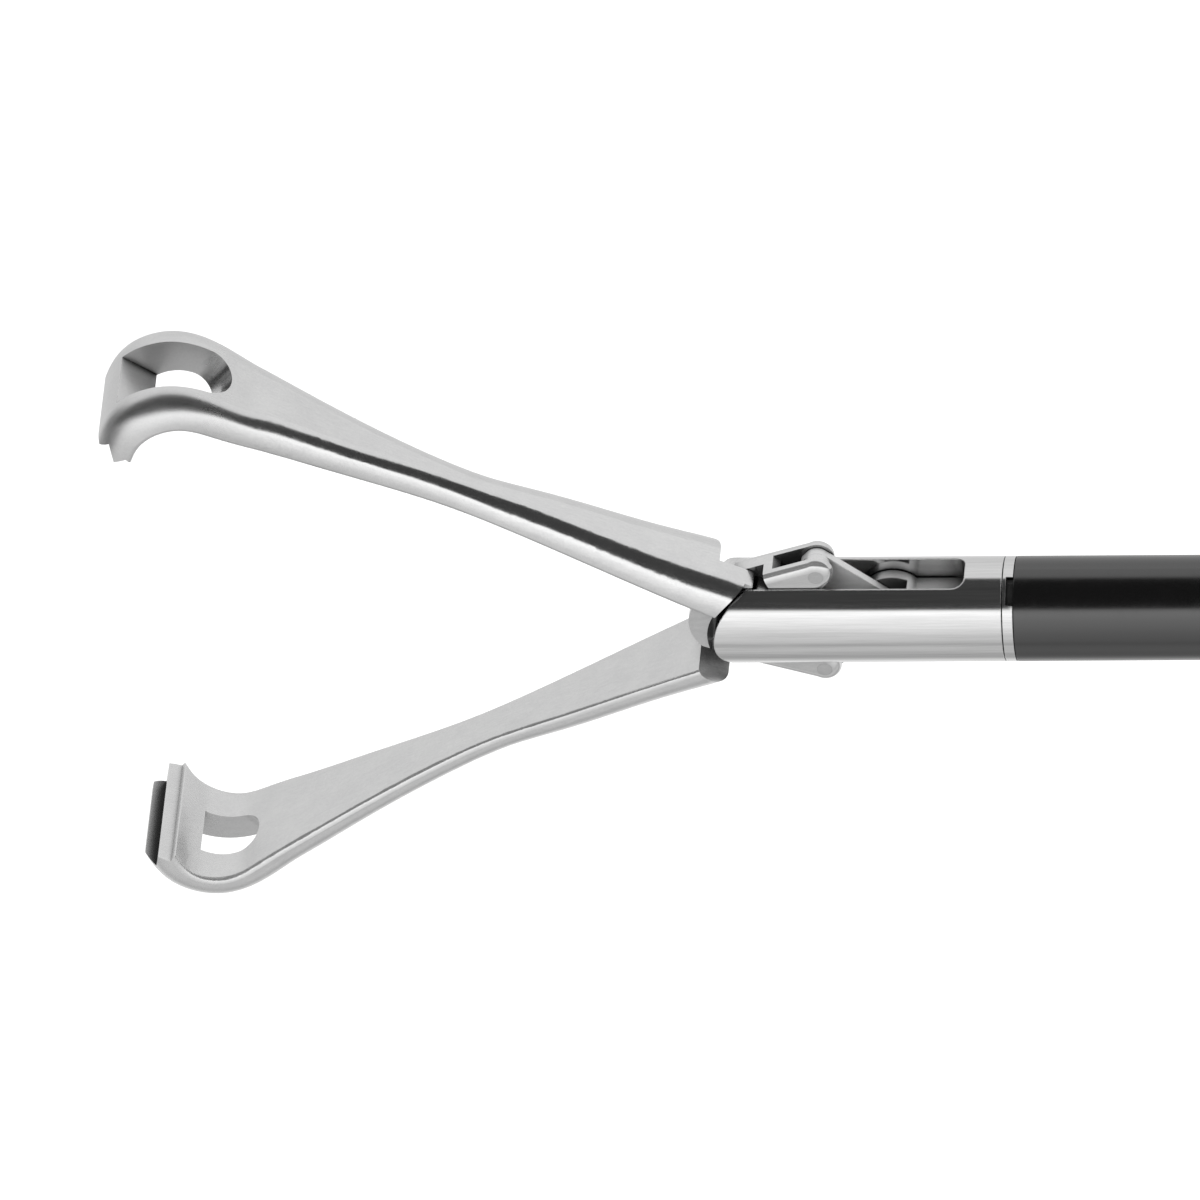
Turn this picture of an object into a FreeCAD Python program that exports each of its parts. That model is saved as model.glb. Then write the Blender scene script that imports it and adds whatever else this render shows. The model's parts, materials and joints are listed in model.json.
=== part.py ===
"""Double-action laparoscopic grasper with fenestrated, ridged jaws and a ring handle.

Millimetres. +X runs along the shaft towards the handle, +Z is the side that the upper jaw opens to.
The origin is on the shaft's axis where the black insulation begins. The jaws are open at rest.
"""
import FreeCAD, Part
import math
import os

V = FreeCAD.Vector
AXIS_X = V(1, 0, 0)
AXIS_Y = V(0, 1, 0)
AXIS_Z = V(0, 0, 1)

# Overall sizes
SHAFT_D = 5.0
WORKING_LENGTH = 330.0
PIVOT_TO_ORIGIN = 11.9
RUNNING = 0.05
SEAT = 0.02

# Jaw profile in the closed position: u runs from the pivot to the tip, v outwards from the closing plane
JAW_OPEN = 22.98
HOOK_U = 29.66
HOOK_V = 0.8
HOOK_INNER_R = 2.07
HOOK_THICKNESS = 1.75
HOOK_START_LEAN = -8.0
PADDLE_THICKNESS = 1.5
TIP_HALF_WIDTH = 3.38
WAIST_U = 17.0
WAIST_HALF_WIDTH = 1.22
WAIST_THICKNESS = 1.2
HEEL_U = 1.5
HEEL_HALF_WIDTH = 2.25
HEEL_THICKNESS = 1.75
HEEL_INNER_V = 0.305
HEEL_NARROWING = 2.1
HEEL_THINNING = 1.3
TIP_WIDENING = 1.3
FACE_SLOPE = 0.0724
FACE_RISE = 0.535
FACE_RISE_POWER = 1.5
FACE_EDGE_R = 0.25
SHANK_STATIONS = (HEEL_U, 5.0, 9.0, 13.0, WAIST_U, 20.5, 23.5, 26.5)
HOOK_LEANS = (HOOK_START_LEAN, 14.0, 38.0, 62.0, 82.0)

# Ridges across the tip: (distance from the inner face, height over the closing plane) of crests and valleys
CLOSED_GAP = 0.02
HEEL_CREST = (0.07, 0.33)
HEEL_VALLEY = (0.31, 0.47)
MAIN_CREST = (0.77, CLOSED_GAP)
MAIN_VALLEY = (1.28, 0.76)
NOSE_CREST = (1.61, 0.17)
NOSE_CHAMFER = (1.95, 0.55)

# Window through the paddle: (height, distal u, distal half width, proximal u, half width at the round end)
WINDOW_FLOOR = (1.95, 31.42, 1.38, 29.1, 1.15)
WINDOW_STEP = (2.18, 33.2, 1.62, 29.0, 1.2)
WINDOW_MOUTH = (4.9, 35.2, 1.95, 27.97, 1.48)
WINDOW_ROUND_LENGTH = 1.15

# Length of cutting shapes that reach past a piece on every side
PAST = 60.0

# Jaw hinge and crossing tails: outlines are (x, z) in the closed upper jaw's frame
PIVOT_PIN_D = 1.2
PLATE_GAP = 0.03
HUB_R = 2.1
EAR_R = 2.4
EAR_GAP = 0.35
POCKET_R = 3.82
LOBE_ANGLE = 44.4
LOBE_R = 2.62
LOBE_HEEL_V = 1.2
LOBE_NOSE = (-3.3, -1.1)
CHEEK_T = 1.95
BLOCK_R = 2.3
BLOCK_START = 1.15
TAIL_ROOT_X = -1.4
TAIL_ROOT_LOW = (-0.4, -2.79)
TAIL_END_LEAN = 17.3
TAIL_PIN_D = 0.7
TAIL_PIN_RADIUS = 3.9
TAIL_PIN_ANGLE = 26.02
TAIL_END_R = 0.8
TAIL_EDGE_R = 0.42
PIN_PRESS_GAP = 0.008
PIVOT_BLIND_WALL = 0.3
LINK_SLOT_FLOOR = 1.55
LINK_SLOT_SHELF = (1.3, 1.2)
LINK_SLOT_LOW = 2.2
LINK_SLOT_HIGH = 3.0

# Toggle links and rod end
LINK_LENGTH = 4.51
LINK_T = 0.4
LINK_EYE_R = 0.62
LINK_SLOT = 0.92
LINK_BELLY = 1.4
LINK_BELLY_START = 1.3
LINK_BELLY_END = 3.7
LINK_NOSE_SHARE = 0.7
LINK_HEEL_SHARE = 0.98
ROD_PIN_D = 0.7
OPEN_PIVOT_CLEARANCE = 0.09
ROD_END_H = 2.2
ROD_EAR_R = 1.6
ROD_END_REAR = 3.45
ROD_SOCKET_START = 1.4
ROD_SOCKET_WALL = 0.15
FORK_FLOOR_GAP = 0.12
ROD_D = 1.5

# Clevis, tubes and insulation
SLOT_WIDTH = 2.1
SLOT_END = 9.55
SLOT_CORNER_R = 0.6
CLEVIS_LENGTH = 11.35
CLEVIS_BORE_START = 3.0
SPIGOT_LENGTH = 6.0
SPIGOT_ROOT = 0.5
COLLAR_LENGTH = 0.5
NOTCH_WIDTH = 1.45
NOTCH_ANGLE = 28.0
NOTCH_DEPTH_SHARE = 0.7
COUNTERBORE_R = 1.53
COUNTERBORE_START = 8.9
COUNTERBORE_END = 11.2
INSULATION_T = 0.3
TUBE_WALL = 0.5
INSULATION_EDGE_R = 0.06
LINER_BORE_CLEARANCE = 0.1
LINER_START_GAP = 1.0

# Hub: depths are measured from its front face, profile points are (depth, inset from its radius)
HUB_D = 12.0
HUB_FRONT_LENGTH = 21.0
KNOB_SEAT_INSET = 1.0
HUB_PROFILE = ((0.0, 2.4), (0.6, 1.8), (5.0, 1.2), (6.5, 0.0), (15.5, 0.0), (17.0, KNOB_SEAT_INSET),
               (18.5, KNOB_SEAT_INSET), (18.5, 0.4), (20.9, 0.4), (20.9, KNOB_SEAT_INSET))
SLEEVE_DEPTH = 10.0
LINER_DEPTH = 11.0
TUBE_DEPTH = 12.0
SHANK_D = 9.0
SHANK_LENGTH = 17.0
CLIP_FROM_END = 3.0
CLIP_T = 1.0
CLIP_PLAY = 0.05
CLIP_DEPTH = 0.6
CLIP_OUT = 1.0
CLIP_MOUTH = 3.2
SEAL_FROM_KNOB = 2.0
SEAL_POCKET = 2.2
SEAL_RING_R = 1.48
SEAL_CORD_R = 0.62

# Rotation knob: profile points are (distance from its front or end, inset from its radius)
KNOB_D = 23.0
KNOB_LENGTH = 20.0
KNOB_FRONT = ((0.0, 4.1), (1.2, 2.9), (6.0, 0.7), (8.0, 0.0))
KNOB_BACK = ((-3.0, 0.0), (-0.8, 1.6), (0.0, 3.2))
KNOB_FLUTES = 8
KNOB_FLUTE_R = 3.4
KNOB_FLUTE_OUT = 1.5
KNOB_END_GAP = 0.2
BARREL_GAP = 1.5

# Flush port and its cap
PORT_X = 11.0
PORT_D = 6.0
PORT_HEIGHT = 9.0
PORT_SEAT_DEPTH = 1.6
PORT_FOOT_LENGTH = 2.2
PORT_NECK_R = 2.6
PORT_MOUTH_R = 2.15
PORT_CHANNEL_R = 1.0
PORT_EAR_R = 3.15
PORT_EAR_T = 1.0
PORT_EAR_WIDTH = 5.0
PORT_HEX_R = 3.6
PORT_HEX_T = 2.0
PORT_HEX_LIFT = 0.25
PORT_BORE_MOUTH_R = 1.45
CAP_D = 8.4
CAP_HEIGHT = 6.5
CAP_OVERHANG = 1.4
CAP_EDGE_R = 0.8
CAP_GROOVES = 12
CAP_GROOVE_R = 0.45
CAP_GROOVE_OUT = 0.12
CAP_GROOVE_END = 1.7
CAP_ROOF_GAP = 0.1
CAP_PLUG_R = 1.2
CAP_PLUG_LENGTH = 2.0

# Bearing bush
BUSH_WALL = 1.4
BUSH_FLANGE = 2.6
BUSH_START = 1.2
BUSH_FLANGE_T = 1.2
BUSH_END = 12.0

# Handle: barrel profile points are (distance from its front or end, inset from its radius)
BARREL_D = 21.0
BARREL_LENGTH = 50.0
BARREL_FRONT = ((0.0, 2.2), (1.5, 0.7), (4.0, 0.0))
BARREL_BACK = ((-9.0, 0.0), (-4.0, 1.6), (-1.2, 4.2), (0.0, 7.0))
BODY_T = 15.0
BODY_EDGE_R = 3.6
GRIP_T = 9.0
GRIP_ROOT_T = 10.5
GRIP_EDGE_R = 3.0
FINGER_W = 24.0
FINGER_H = 46.0
FINGER_WALL = 5.5
FINGER_LEAN = -12.0
FINGER_FORWARD = 17.0
FINGER_Z = -58.0
RING_SQUARENESS = 0.96
RING_EDGE_SHARE = 0.48
BALL_D = 4.0
BALL_NECK = 0.6
BALL_ARM = 7.0
BALL_FROM_HUB = 69.0

# Thumb lever
LEVER_T = 6.4
LEVER_EDGE_R = 1.6
LEVER_GAP = 0.35
LEVER_HUB_R = 5.2
LEVER_HEAD_HALF = 3.9
LEVER_HEAD_TOP = 3.6
LEVER_HEAD_EDGE_R = 0.8
LEVER_PIN_D = 4.0
LEVER_PIN_INSET = 0.3
WASHER_R = 4.2
WASHER_PLAY = 0.035
POCKET_DEPTH_PLAY = 0.15
THROAT_PLAY = 0.2
THROAT_DEPTH_PLAY = 0.45
THUMB_REACH = 70.0
THUMB_LEAN = 36.0
THUMB_W = 24.0
THUMB_H = 29.0
THUMB_WALL = 5.0
ARM_OVERLAP = 2.0

# Cavity in the handle
CLIP_ROOM = 0.6
CLIP_ROOM_OVERLAP = 0.5
CHAMBER_TOP = 5.6
CHAMBER_LOW = -14.0
CHAMBER_BACK = 10.0

# High-frequency connector, behind and above the lever's pivot
CONNECTOR_BACK = 13.5
CONNECTOR_Z = 3.0
CONNECTOR_D = 4.0
CONNECTOR_LENGTH = 13.6
CONNECTOR_NOSE_R = 1.1
CONNECTOR_FOOT_R = 1.4
CONNECTOR_SHOULDER_GAP = 0.3
CONNECTOR_TILT = 45.0
COLLAR_R = 3.6
COLLAR_H = 9.5
COLLAR_EDGE_R = 0.7
COLLAR_FLOOR = 0.8
SCREW_D = 2.5
SCREW_HEAD_R = 2.25
SCREW_HEAD_T = 1.5
SCREW_BODY_INSET = 0.8
SCREW_GRIP_INSET = 0.4
SCREW_BLIND = 1.6

# Places that follow from the sizes
RADIUS = SHAFT_D / 2
PIVOT_X = -PIVOT_TO_ORIGIN
JAW_TIP_U = HOOK_U + HOOK_INNER_R + HOOK_THICKNESS
HUB_X = WORKING_LENGTH - PIVOT_TO_ORIGIN - JAW_TIP_U
KNOB_X = HUB_X + HUB_FRONT_LENGTH
BARREL_X = KNOB_X + KNOB_LENGTH + BARREL_GAP
BALL_X = HUB_X + BALL_FROM_HUB
PORT_AXIS_X = HUB_X + PORT_X
PORT_TOP = HUB_D / 2 + PORT_HEIGHT
KNOB_SEAT_R = HUB_D / 2 - KNOB_SEAT_INSET
CLIP_X = BARREL_X + SHANK_LENGTH - CLIP_FROM_END
TUBE_R = RADIUS - INSULATION_T - SEAT
BORE_R = TUBE_R - TUBE_WALL


def link_reach(tail_angle):
    """Distance along the shaft from the jaw pivot to the rod pin for a tail at this angle."""
    x = TAIL_PIN_RADIUS * math.cos(math.radians(tail_angle))
    z = TAIL_PIN_RADIUS * math.sin(math.radians(tail_angle))
    return x + math.sqrt(LINK_LENGTH ** 2 - z ** 2)


ROD_PIN_OPEN = link_reach(TAIL_PIN_ANGLE + JAW_OPEN)
ROD_TRAVEL = link_reach(TAIL_PIN_ANGLE) - ROD_PIN_OPEN
LEVER_SWING = 2 * math.degrees(math.atan(ROD_TRAVEL / 2 / BALL_ARM))
LEVER_X = BALL_X + ROD_TRAVEL / 2
LEVER_Z = -BALL_ARM
FINGER_X = LEVER_X - FINGER_FORWARD
THUMB_X = LEVER_X + THUMB_REACH * math.sin(math.radians(THUMB_LEAN))
THUMB_Z = LEVER_Z - THUMB_REACH * math.cos(math.radians(THUMB_LEAN))
CONNECTOR_X = LEVER_X + CONNECTOR_BACK
SCREW_PLACES = ((BARREL_X + 12.0, -10.5, BODY_T / 2 - SCREW_BODY_INSET),
                (LEVER_X + 17.0, -5.5, BODY_T / 2 - SCREW_BODY_INSET),
                (LEVER_X - 19.5, -27.0, GRIP_T / 2 - SCREW_GRIP_INSET))

# Outlines of the handle in the XZ plane: (x, z, corner radius)
BARREL_END_X = BARREL_X + BARREL_LENGTH
BODY_OUTLINE = (
    (BARREL_X + 2.5, 6.0, 3.0), (BARREL_X + 2.5, -11.0, 6.0), (LEVER_X - 20.0, -26.0, 9.0),
    (LEVER_X - 5.5, -26.0, 4.0), (LEVER_X + 4.0, -15.5, 4.0), (BARREL_END_X - 10.0, -13.0, 4.0),
    (BARREL_END_X - 6.0, 4.0, 4.0))
GRIP_OUTLINE = (
    (LEVER_X - 25.0, -17.0, 2.0), (LEVER_X - 29.5, -42.0, 6.0), (LEVER_X - 10.0, -38.0, 6.0),
    (LEVER_X - 6.5, -17.0, 2.0))
LEVER_ROOM_OUTLINE = (
    (LEVER_X - 7.0, 2.0, 1.0), (LEVER_X - 7.0, -12.0, 1.0), (LEVER_X - 10.5, -30.0, 1.0),
    (LEVER_X + 24.0, -30.0, 1.0), (LEVER_X + 16.5, -8.0, 1.0), (LEVER_X + 9.0, 2.0, 1.0))
LEVER_ARM_OUTLINE = ((0.0, -4.6, 2.0), (0.45, -3.4, 8.0), (1.0, -5.4, 4.0), (1.0, 5.4, 4.0), (0.45, 3.8, 8.0),
                     (0.0, 4.6, 2.0))


def wire_xz(points, y=0.0):
    """Closed polygon wire in the XZ plane."""
    vectors = [V(x, y, z) for x, z in points]
    return Part.makePolygon(vectors + vectors[:1])


def rounded_wire(corners, y=0.0):
    """Closed XZ outline from (x, z, radius) corners, each rounded by a tangent arc."""
    edges = []
    arcs = []
    count = len(corners)
    for i, (x, z, r) in enumerate(corners):
        here = V(x, y, z)
        before = V(corners[i - 1][0], y, corners[i - 1][1])
        after = V(corners[(i + 1) % count][0], y, corners[(i + 1) % count][1])
        a = (before - here).normalize()
        b = (after - here).normalize()
        half = a.getAngle(b) / 2
        run = r / math.tan(half)
        middle = (a + b).normalize() * (r / math.sin(half) - r)
        arcs.append((here + a * run, here + middle, here + b * run))
    for i, (start, middle, end) in enumerate(arcs):
        following = arcs[(i + 1) % count][0]
        edges.append(Part.Arc(start, middle, end).toShape())
        if (following - end).Length > 1e-4:
            edges.append(Part.LineSegment(end, following).toShape())
    return Part.Wire(edges)


def plate(wire, thickness, y0=None):
    """Extrudes an XZ outline along Y, centred unless y0 gives its low side."""
    low = -thickness / 2 if y0 is None else y0
    face = Part.Face(wire)
    solid = face.extrude(V(0, thickness, 0))
    solid.translate(V(0, low, 0))
    return solid


def rod_x(x0, x1, radius, bore=0.0):
    """Cylinder or tube along X."""
    solid = Part.makeCylinder(radius, x1 - x0, V(x0, 0, 0), AXIS_X)
    if bore > 0:
        solid = solid.cut(Part.makeCylinder(bore, x1 - x0 + 2, V(x0 - 1, 0, 0), AXIS_X))
    return solid


def pin_y(x, z, radius, y0, y1):
    """Cylinder along Y."""
    return Part.makeCylinder(radius, y1 - y0, V(x, y0, z), AXIS_Y)


def turned_x(profile):
    """Solid of revolution about X from (x, radius) points, closed along the axis."""
    points = [(profile[0][0], 0.0)] + list(profile) + [(profile[-1][0], 0.0)]
    return Part.Face(wire_xz(points)).revolve(V(0, 0, 0), AXIS_X, 360)


def block(x0, x1, y0, y1, z0, z1):
    """Box between two corners."""
    return Part.makeBox(x1 - x0, y1 - y0, z1 - z0, V(x0, y0, z0))


def edges_where(shape, test):
    """Edges whose both ends and middle pass a test."""
    found = []
    for edge in shape.Edges:
        points = [v.Point for v in edge.Vertexes] + [edge.CenterOfMass]
        if all(test(p) for p in points):
            found.append(edge)
    return found


# Jaws

def waist_share(u):
    """How far u is from the waist towards the heel or the tip, with the end's sign: -1 heel, 1 tip."""
    if u <= WAIST_U:
        return -(WAIST_U - u) / (WAIST_U - HEEL_U)
    return min(1.0, (u - WAIST_U) / (HOOK_U + HOOK_INNER_R - WAIST_U))


def jaw_half_width(u):
    """Greatest half width of the jaw, a smooth waist between the heel and the paddle."""
    share = waist_share(u)
    if share <= 0:
        growth = math.sin(-share * math.pi / 2) ** HEEL_NARROWING
        return WAIST_HALF_WIDTH + (HEEL_HALF_WIDTH - WAIST_HALF_WIDTH) * growth
    return WAIST_HALF_WIDTH + (TIP_HALF_WIDTH - WAIST_HALF_WIDTH) * share ** TIP_WIDENING


def jaw_thickness(u):
    """Thickness from the inner face to the back along the shank and paddle."""
    share = waist_share(u)
    if share <= 0:
        return WAIST_THICKNESS + (HEEL_THICKNESS - WAIST_THICKNESS) * (-share) ** HEEL_THINNING
    return WAIST_THICKNESS + (PADDLE_THICKNESS - WAIST_THICKNESS) * math.sin(share * math.pi / 2) ** 2


def jaw_face_v(u):
    """Height of the inner face over the closing plane along the shank."""
    rise = FACE_RISE * max(0.0, (u - WAIST_U) / (HOOK_U - WAIST_U)) ** FACE_RISE_POWER
    return HEEL_INNER_V + FACE_SLOPE * (u - HEEL_U) + rise


def jaw_section(u, v, lean, half_width, thickness):
    """Cross section: flat inner face with rounded edges and a flat back with well rounded sides."""
    out = V(-math.sin(lean), 0, math.cos(lean))
    base = V(-u, 0, v)
    inner_r = FACE_EDGE_R
    outer_r = thickness - FACE_EDGE_R
    inner_k = inner_r * (1 - math.sqrt(0.5))
    outer_k = outer_r * (1 - math.sqrt(0.5))
    face = half_width - inner_r
    back = half_width - outer_r

    def at(y, n):
        return base + V(0, y, 0) + out * n

    edges = [Part.LineSegment(at(-face, 0), at(face, 0)).toShape()]
    for side in (1, -1):
        inner = Part.Arc(at(side * face, 0), at(side * (half_width - inner_k), inner_k),
                         at(side * half_width, inner_r))
        outer = Part.Arc(at(side * half_width, inner_r), at(side * (half_width - outer_k), thickness - outer_k),
                         at(side * back, thickness))
        edges += [inner.toShape(), outer.toShape()]
    edges.insert(3, Part.LineSegment(at(back, thickness), at(-back, thickness)).toShape())
    return Part.Wire(Part.__sortEdges__(edges))


def jaw_body():
    """Lofted shank, paddle and hook of one closed jaw."""
    sections = []
    step = 0.01
    for u in SHANK_STATIONS:
        lean = -math.atan((jaw_face_v(u + step) - jaw_face_v(u)) / step)
        sections.append(jaw_section(u, jaw_face_v(u), lean, jaw_half_width(u), jaw_thickness(u)))
    for degrees in HOOK_LEANS:
        lean = math.radians(degrees)
        u = HOOK_U + HOOK_INNER_R * math.sin(lean)
        v = HOOK_V + HOOK_INNER_R * math.cos(lean)
        share = max(0.0, math.sin(lean))
        thickness = PADDLE_THICKNESS + (HOOK_THICKNESS - PADDLE_THICKNESS) * share
        sections.append(jaw_section(u, v, lean, jaw_half_width(u), thickness))
    tip_u = HOOK_U + HOOK_INNER_R
    for v in (HOOK_V - 0.3, CLOSED_GAP):
        sections.append(jaw_section(tip_u, v, math.radians(90), TIP_HALF_WIDTH, HOOK_THICKNESS))
    return Part.makeLoft(sections, True, False)


def tip_ridges():
    """Prism that cuts the saw-tooth ridges into the tip's contact face."""
    inner = HOOK_U + HOOK_INNER_R
    outline = [(-HOOK_INNER_R, -1.0), (-HOOK_INNER_R, HEEL_CREST[1]), HEEL_CREST, HEEL_VALLEY, MAIN_CREST,
               MAIN_VALLEY, NOSE_CREST, NOSE_CHAMFER, (NOSE_CHAMFER[0], -1.0)]
    return plate(wire_xz([(-inner - depth, v) for depth, v in outline]), 3 * TIP_HALF_WIDTH)


def paddle_window():
    """Flared D-shaped opening through the paddle, straight at its distal end."""
    wires = []
    for v, distal, distal_w, proximal, round_w in (WINDOW_FLOOR, WINDOW_STEP, WINDOW_MOUTH):
        turn = proximal + WINDOW_ROUND_LENGTH
        edges = [
            Part.LineSegment(V(-distal, -distal_w, v), V(-distal, distal_w, v)).toShape(),
            Part.LineSegment(V(-distal, distal_w, v), V(-turn, round_w, v)).toShape(),
            Part.Arc(V(-turn, round_w, v), V(-proximal, 0, v), V(-turn, -round_w, v)).toShape(),
            Part.LineSegment(V(-turn, -round_w, v), V(-distal, -distal_w, v)).toShape(),
        ]
        wires.append(Part.Wire(edges))
    return Part.makeLoft(wires, True, True)


def tail_outline():
    """Outline of the tail from the hub to its rounded pin end, below the axis."""
    angle = math.radians(-TAIL_PIN_ANGLE)
    along = V(math.cos(angle), 0, math.sin(angle))
    inward = V(-math.sin(angle), 0, math.cos(angle))
    end = along * TAIL_PIN_RADIUS
    lean = math.radians(TAIL_END_LEAN)
    root = V(TAIL_ROOT_X, 0, 0)
    outer_start = V(TAIL_ROOT_LOW[0], 0, TAIL_ROOT_LOW[1])
    outer_end = end - (inward * math.cos(lean) - along * math.sin(lean)) * TAIL_END_R
    inner_end = end + inward * TAIL_END_R
    hub_side = inward * TAIL_END_R
    edges = [
        Part.LineSegment(hub_side, root).toShape(),
        Part.LineSegment(root, outer_start).toShape(),
        Part.LineSegment(outer_start, outer_end).toShape(),
        Part.Arc(outer_end, end + along * TAIL_END_R, inner_end).toShape(),
        Part.LineSegment(inner_end, hub_side).toShape(),
    ]
    return Part.Wire(edges)


def lobe_outline():
    """Fin of the cheek that wraps the ear below the jaw's inner face."""
    lobe = math.radians(LOBE_ANGLE)
    low = V(-LOBE_R * math.cos(lobe), 0, -LOBE_R * math.sin(lobe))
    heel = V(-POCKET_R - EAR_GAP, 0, LOBE_HEEL_V)
    front = V(-POCKET_R, 0, EAR_GAP)
    edges = [
        Part.LineSegment(heel, front).toShape(),
        Part.Arc(front, V(LOBE_NOSE[0], 0, LOBE_NOSE[1]), low).toShape(),
        Part.LineSegment(low, V(0, 0, 0)).toShape(),
        Part.LineSegment(V(0, 0, 0), V(0, 0, LOBE_HEEL_V)).toShape(),
        Part.LineSegment(V(0, 0, LOBE_HEEL_V), heel).toShape(),
    ]
    return Part.Wire(edges)


def tail_pin_place():
    """Tail pin centre in the closed jaw's frame."""
    angle = math.radians(-TAIL_PIN_ANGLE)
    return TAIL_PIN_RADIUS * math.cos(angle), TAIL_PIN_RADIUS * math.sin(angle)


def closed_upper_jaw():
    """Upper jaw about its pivot, closed. Its hub plate is on the -Y side."""
    half = SLOT_WIDTH / 2 - RUNNING
    body = jaw_body().cut(tip_ridges()).cut(paddle_window())
    near_half = block(-PAST, PAST, -PAST, -PLATE_GAP, -PAST, PAST)
    far_half = block(-PAST, PAST, -PLATE_GAP, PAST, -PAST, PAST)
    outside_slot = block(-PAST, PAST, -PAST, -half, -PAST, PAST)
    behind_pivot = block(0, PAST, -PAST, PAST, -PAST, PAST)
    ear_sweep = pin_y(0, 0, EAR_R + EAR_GAP, -PAST, PAST)

    far = body.common(far_half).cut(pin_y(0, 0, POCKET_R, -PAST, PAST))
    cheek = plate(lobe_outline(), CHEEK_T - PLATE_GAP, y0=-CHEEK_T)
    cheek = cheek.common(rod_x(-PAST, PAST, RADIUS + RUNNING).common(near_half))
    near = body.common(near_half).fuse(cheek)
    near = near.cut(ear_sweep.common(outside_slot)).cut(outside_slot.common(behind_pivot))

    hub = pin_y(0, 0, HUB_R, -half, -PLATE_GAP)
    whole_tail = soft_tail(half)
    tail = whole_tail.common(near_half)
    wide = whole_tail.cut(pin_y(0, 0, BLOCK_R, -PAST, PAST))
    wide = wide.common(block(BLOCK_START, PAST, -PAST, PAST, -PAST, 0))
    jaw = far.fuse([near, hub, tail, wide]).removeSplitter()

    x, z = tail_pin_place()
    jaw = jaw.cut(link_slot(x, z))
    jaw = jaw.cut(pin_y(0, 0, PIVOT_PIN_D / 2 + RUNNING, -PAST, PAST))
    return jaw.cut(pin_y(x, z, TAIL_PIN_D / 2 + PIN_PRESS_GAP, -PAST, PAST))


def soft_tail(half):
    """Tail block as wide as the slot, with its outer long edges well rounded."""
    tail = plate(tail_outline(), half * 2)
    rims = [e for e in tail.Edges if abs(abs(e.CenterOfMass.y) - half) < 1e-3 and e.CenterOfMass.x > BLOCK_START]
    return tail.makeFillet(TAIL_EDGE_R, rims)


def link_slot(x, z):
    """Slot in the tail's end that the link swings in."""
    half = LINK_SLOT / 2
    cut = block(-LINK_SLOT_FLOOR, PAST, -half, half, -LINK_SLOT_LOW, LINK_SLOT_HIGH)
    cut = cut.cut(block(-PAST, -LINK_SLOT_SHELF[0], -PAST, PAST, -PAST, -LINK_SLOT_SHELF[1]))
    cut.rotate(V(0, 0, 0), AXIS_Y, TAIL_PIN_ANGLE)
    cut.translate(V(x, 0, z))
    return cut


def open_jaw(shape, upper):
    """Turns a closed upper jaw open, about the pivot, or into the lower jaw."""
    placed = shape.copy()
    placed.rotate(V(0, 0, 0), AXIS_Y, JAW_OPEN)
    if not upper:
        placed.rotate(V(0, 0, 0), AXIS_X, 180)
    placed.translate(V(PIVOT_X, 0, 0))
    return placed


def tail_pin():
    """Pin through the tail fork, flush with its sides."""
    x, z = tail_pin_place()
    half = SLOT_WIDTH / 2 - RUNNING
    return pin_y(x, z, TAIL_PIN_D / 2, -half, half)


def link(upper_jaw_side):
    """Stepped link from a jaw's tail pin to the rod pin, at rest."""
    angle = math.radians(TAIL_PIN_ANGLE + JAW_OPEN)
    x = PIVOT_X + TAIL_PIN_RADIUS * math.cos(angle)
    z = -TAIL_PIN_RADIUS * math.sin(angle)
    rod_x_place = PIVOT_X + ROD_PIN_OPEN
    low = -SEAT - LINK_T
    run = V(rod_x_place - x, 0, -z)
    slope = math.degrees(math.atan2(run.z, run.x))
    eye = LINK_EYE_R
    bar = Part.Face(rounded_wire([
        (-eye, eye, eye * LINK_NOSE_SHARE), (LINK_BELLY_START, LINK_BELLY, eye), (LINK_BELLY_END, LINK_BELLY, eye),
        (run.Length + eye, eye, eye * LINK_NOSE_SHARE), (run.Length + eye, -eye, eye * LINK_HEEL_SHARE),
        (-eye, -eye, eye * LINK_HEEL_SHARE),
    ])).extrude(V(0, LINK_T, 0))
    bar.translate(V(0, low, 0))
    boss = pin_y(0, 0, LINK_EYE_R, low, -low)
    shape = bar.fuse(boss)
    shape = shape.cut(pin_y(0, 0, TAIL_PIN_D / 2 + RUNNING, -PAST, PAST))
    shape = shape.cut(pin_y(run.Length, 0, ROD_PIN_D / 2 + OPEN_PIVOT_CLEARANCE, -PAST, PAST))
    shape.rotate(V(0, 0, 0), AXIS_Y, -slope)
    shape.translate(V(x, 0, z))
    if not upper_jaw_side:
        shape.rotate(V(0, 0, 0), AXIS_X, 180)
    return shape


def rod_end():
    """Forked block on the pull rod that holds the rod pin and both links."""
    x = PIVOT_X + ROD_PIN_OPEN
    half = SLOT_WIDTH / 2 - RUNNING
    h = ROD_END_H / 2
    body = block(x, x + ROD_END_REAR, -half, half, -h, h)
    body = body.fuse(pin_y(x, 0, ROD_EAR_R, -half, half)).removeSplitter()
    slot = block(x - PAST, x + LINK_EYE_R + FORK_FLOOR_GAP, -LINK_SLOT / 2, LINK_SLOT / 2, -PAST, PAST)
    body = body.cut(slot).cut(pin_y(x, 0, ROD_PIN_D / 2 + PIN_PRESS_GAP, -PAST, PAST))
    return body.cut(rod_x(x + ROD_SOCKET_START, x + PAST, ROD_D / 2 - ROD_SOCKET_WALL))


def pull_rod():
    """Long rod from the rod end to the ball, with a turned-down tip in the rod end."""
    pin_x = PIVOT_X + ROD_PIN_OPEN
    start = pin_x + ROD_END_REAR + SEAT
    tip = rod_x(pin_x + ROD_SOCKET_START + SEAT, start + SEAT, ROD_D / 2 - ROD_SOCKET_WALL - SEAT)
    return rod_x(start, BALL_X - BALL_D / 2 + BALL_NECK, ROD_D / 2).fuse(tip)


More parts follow.
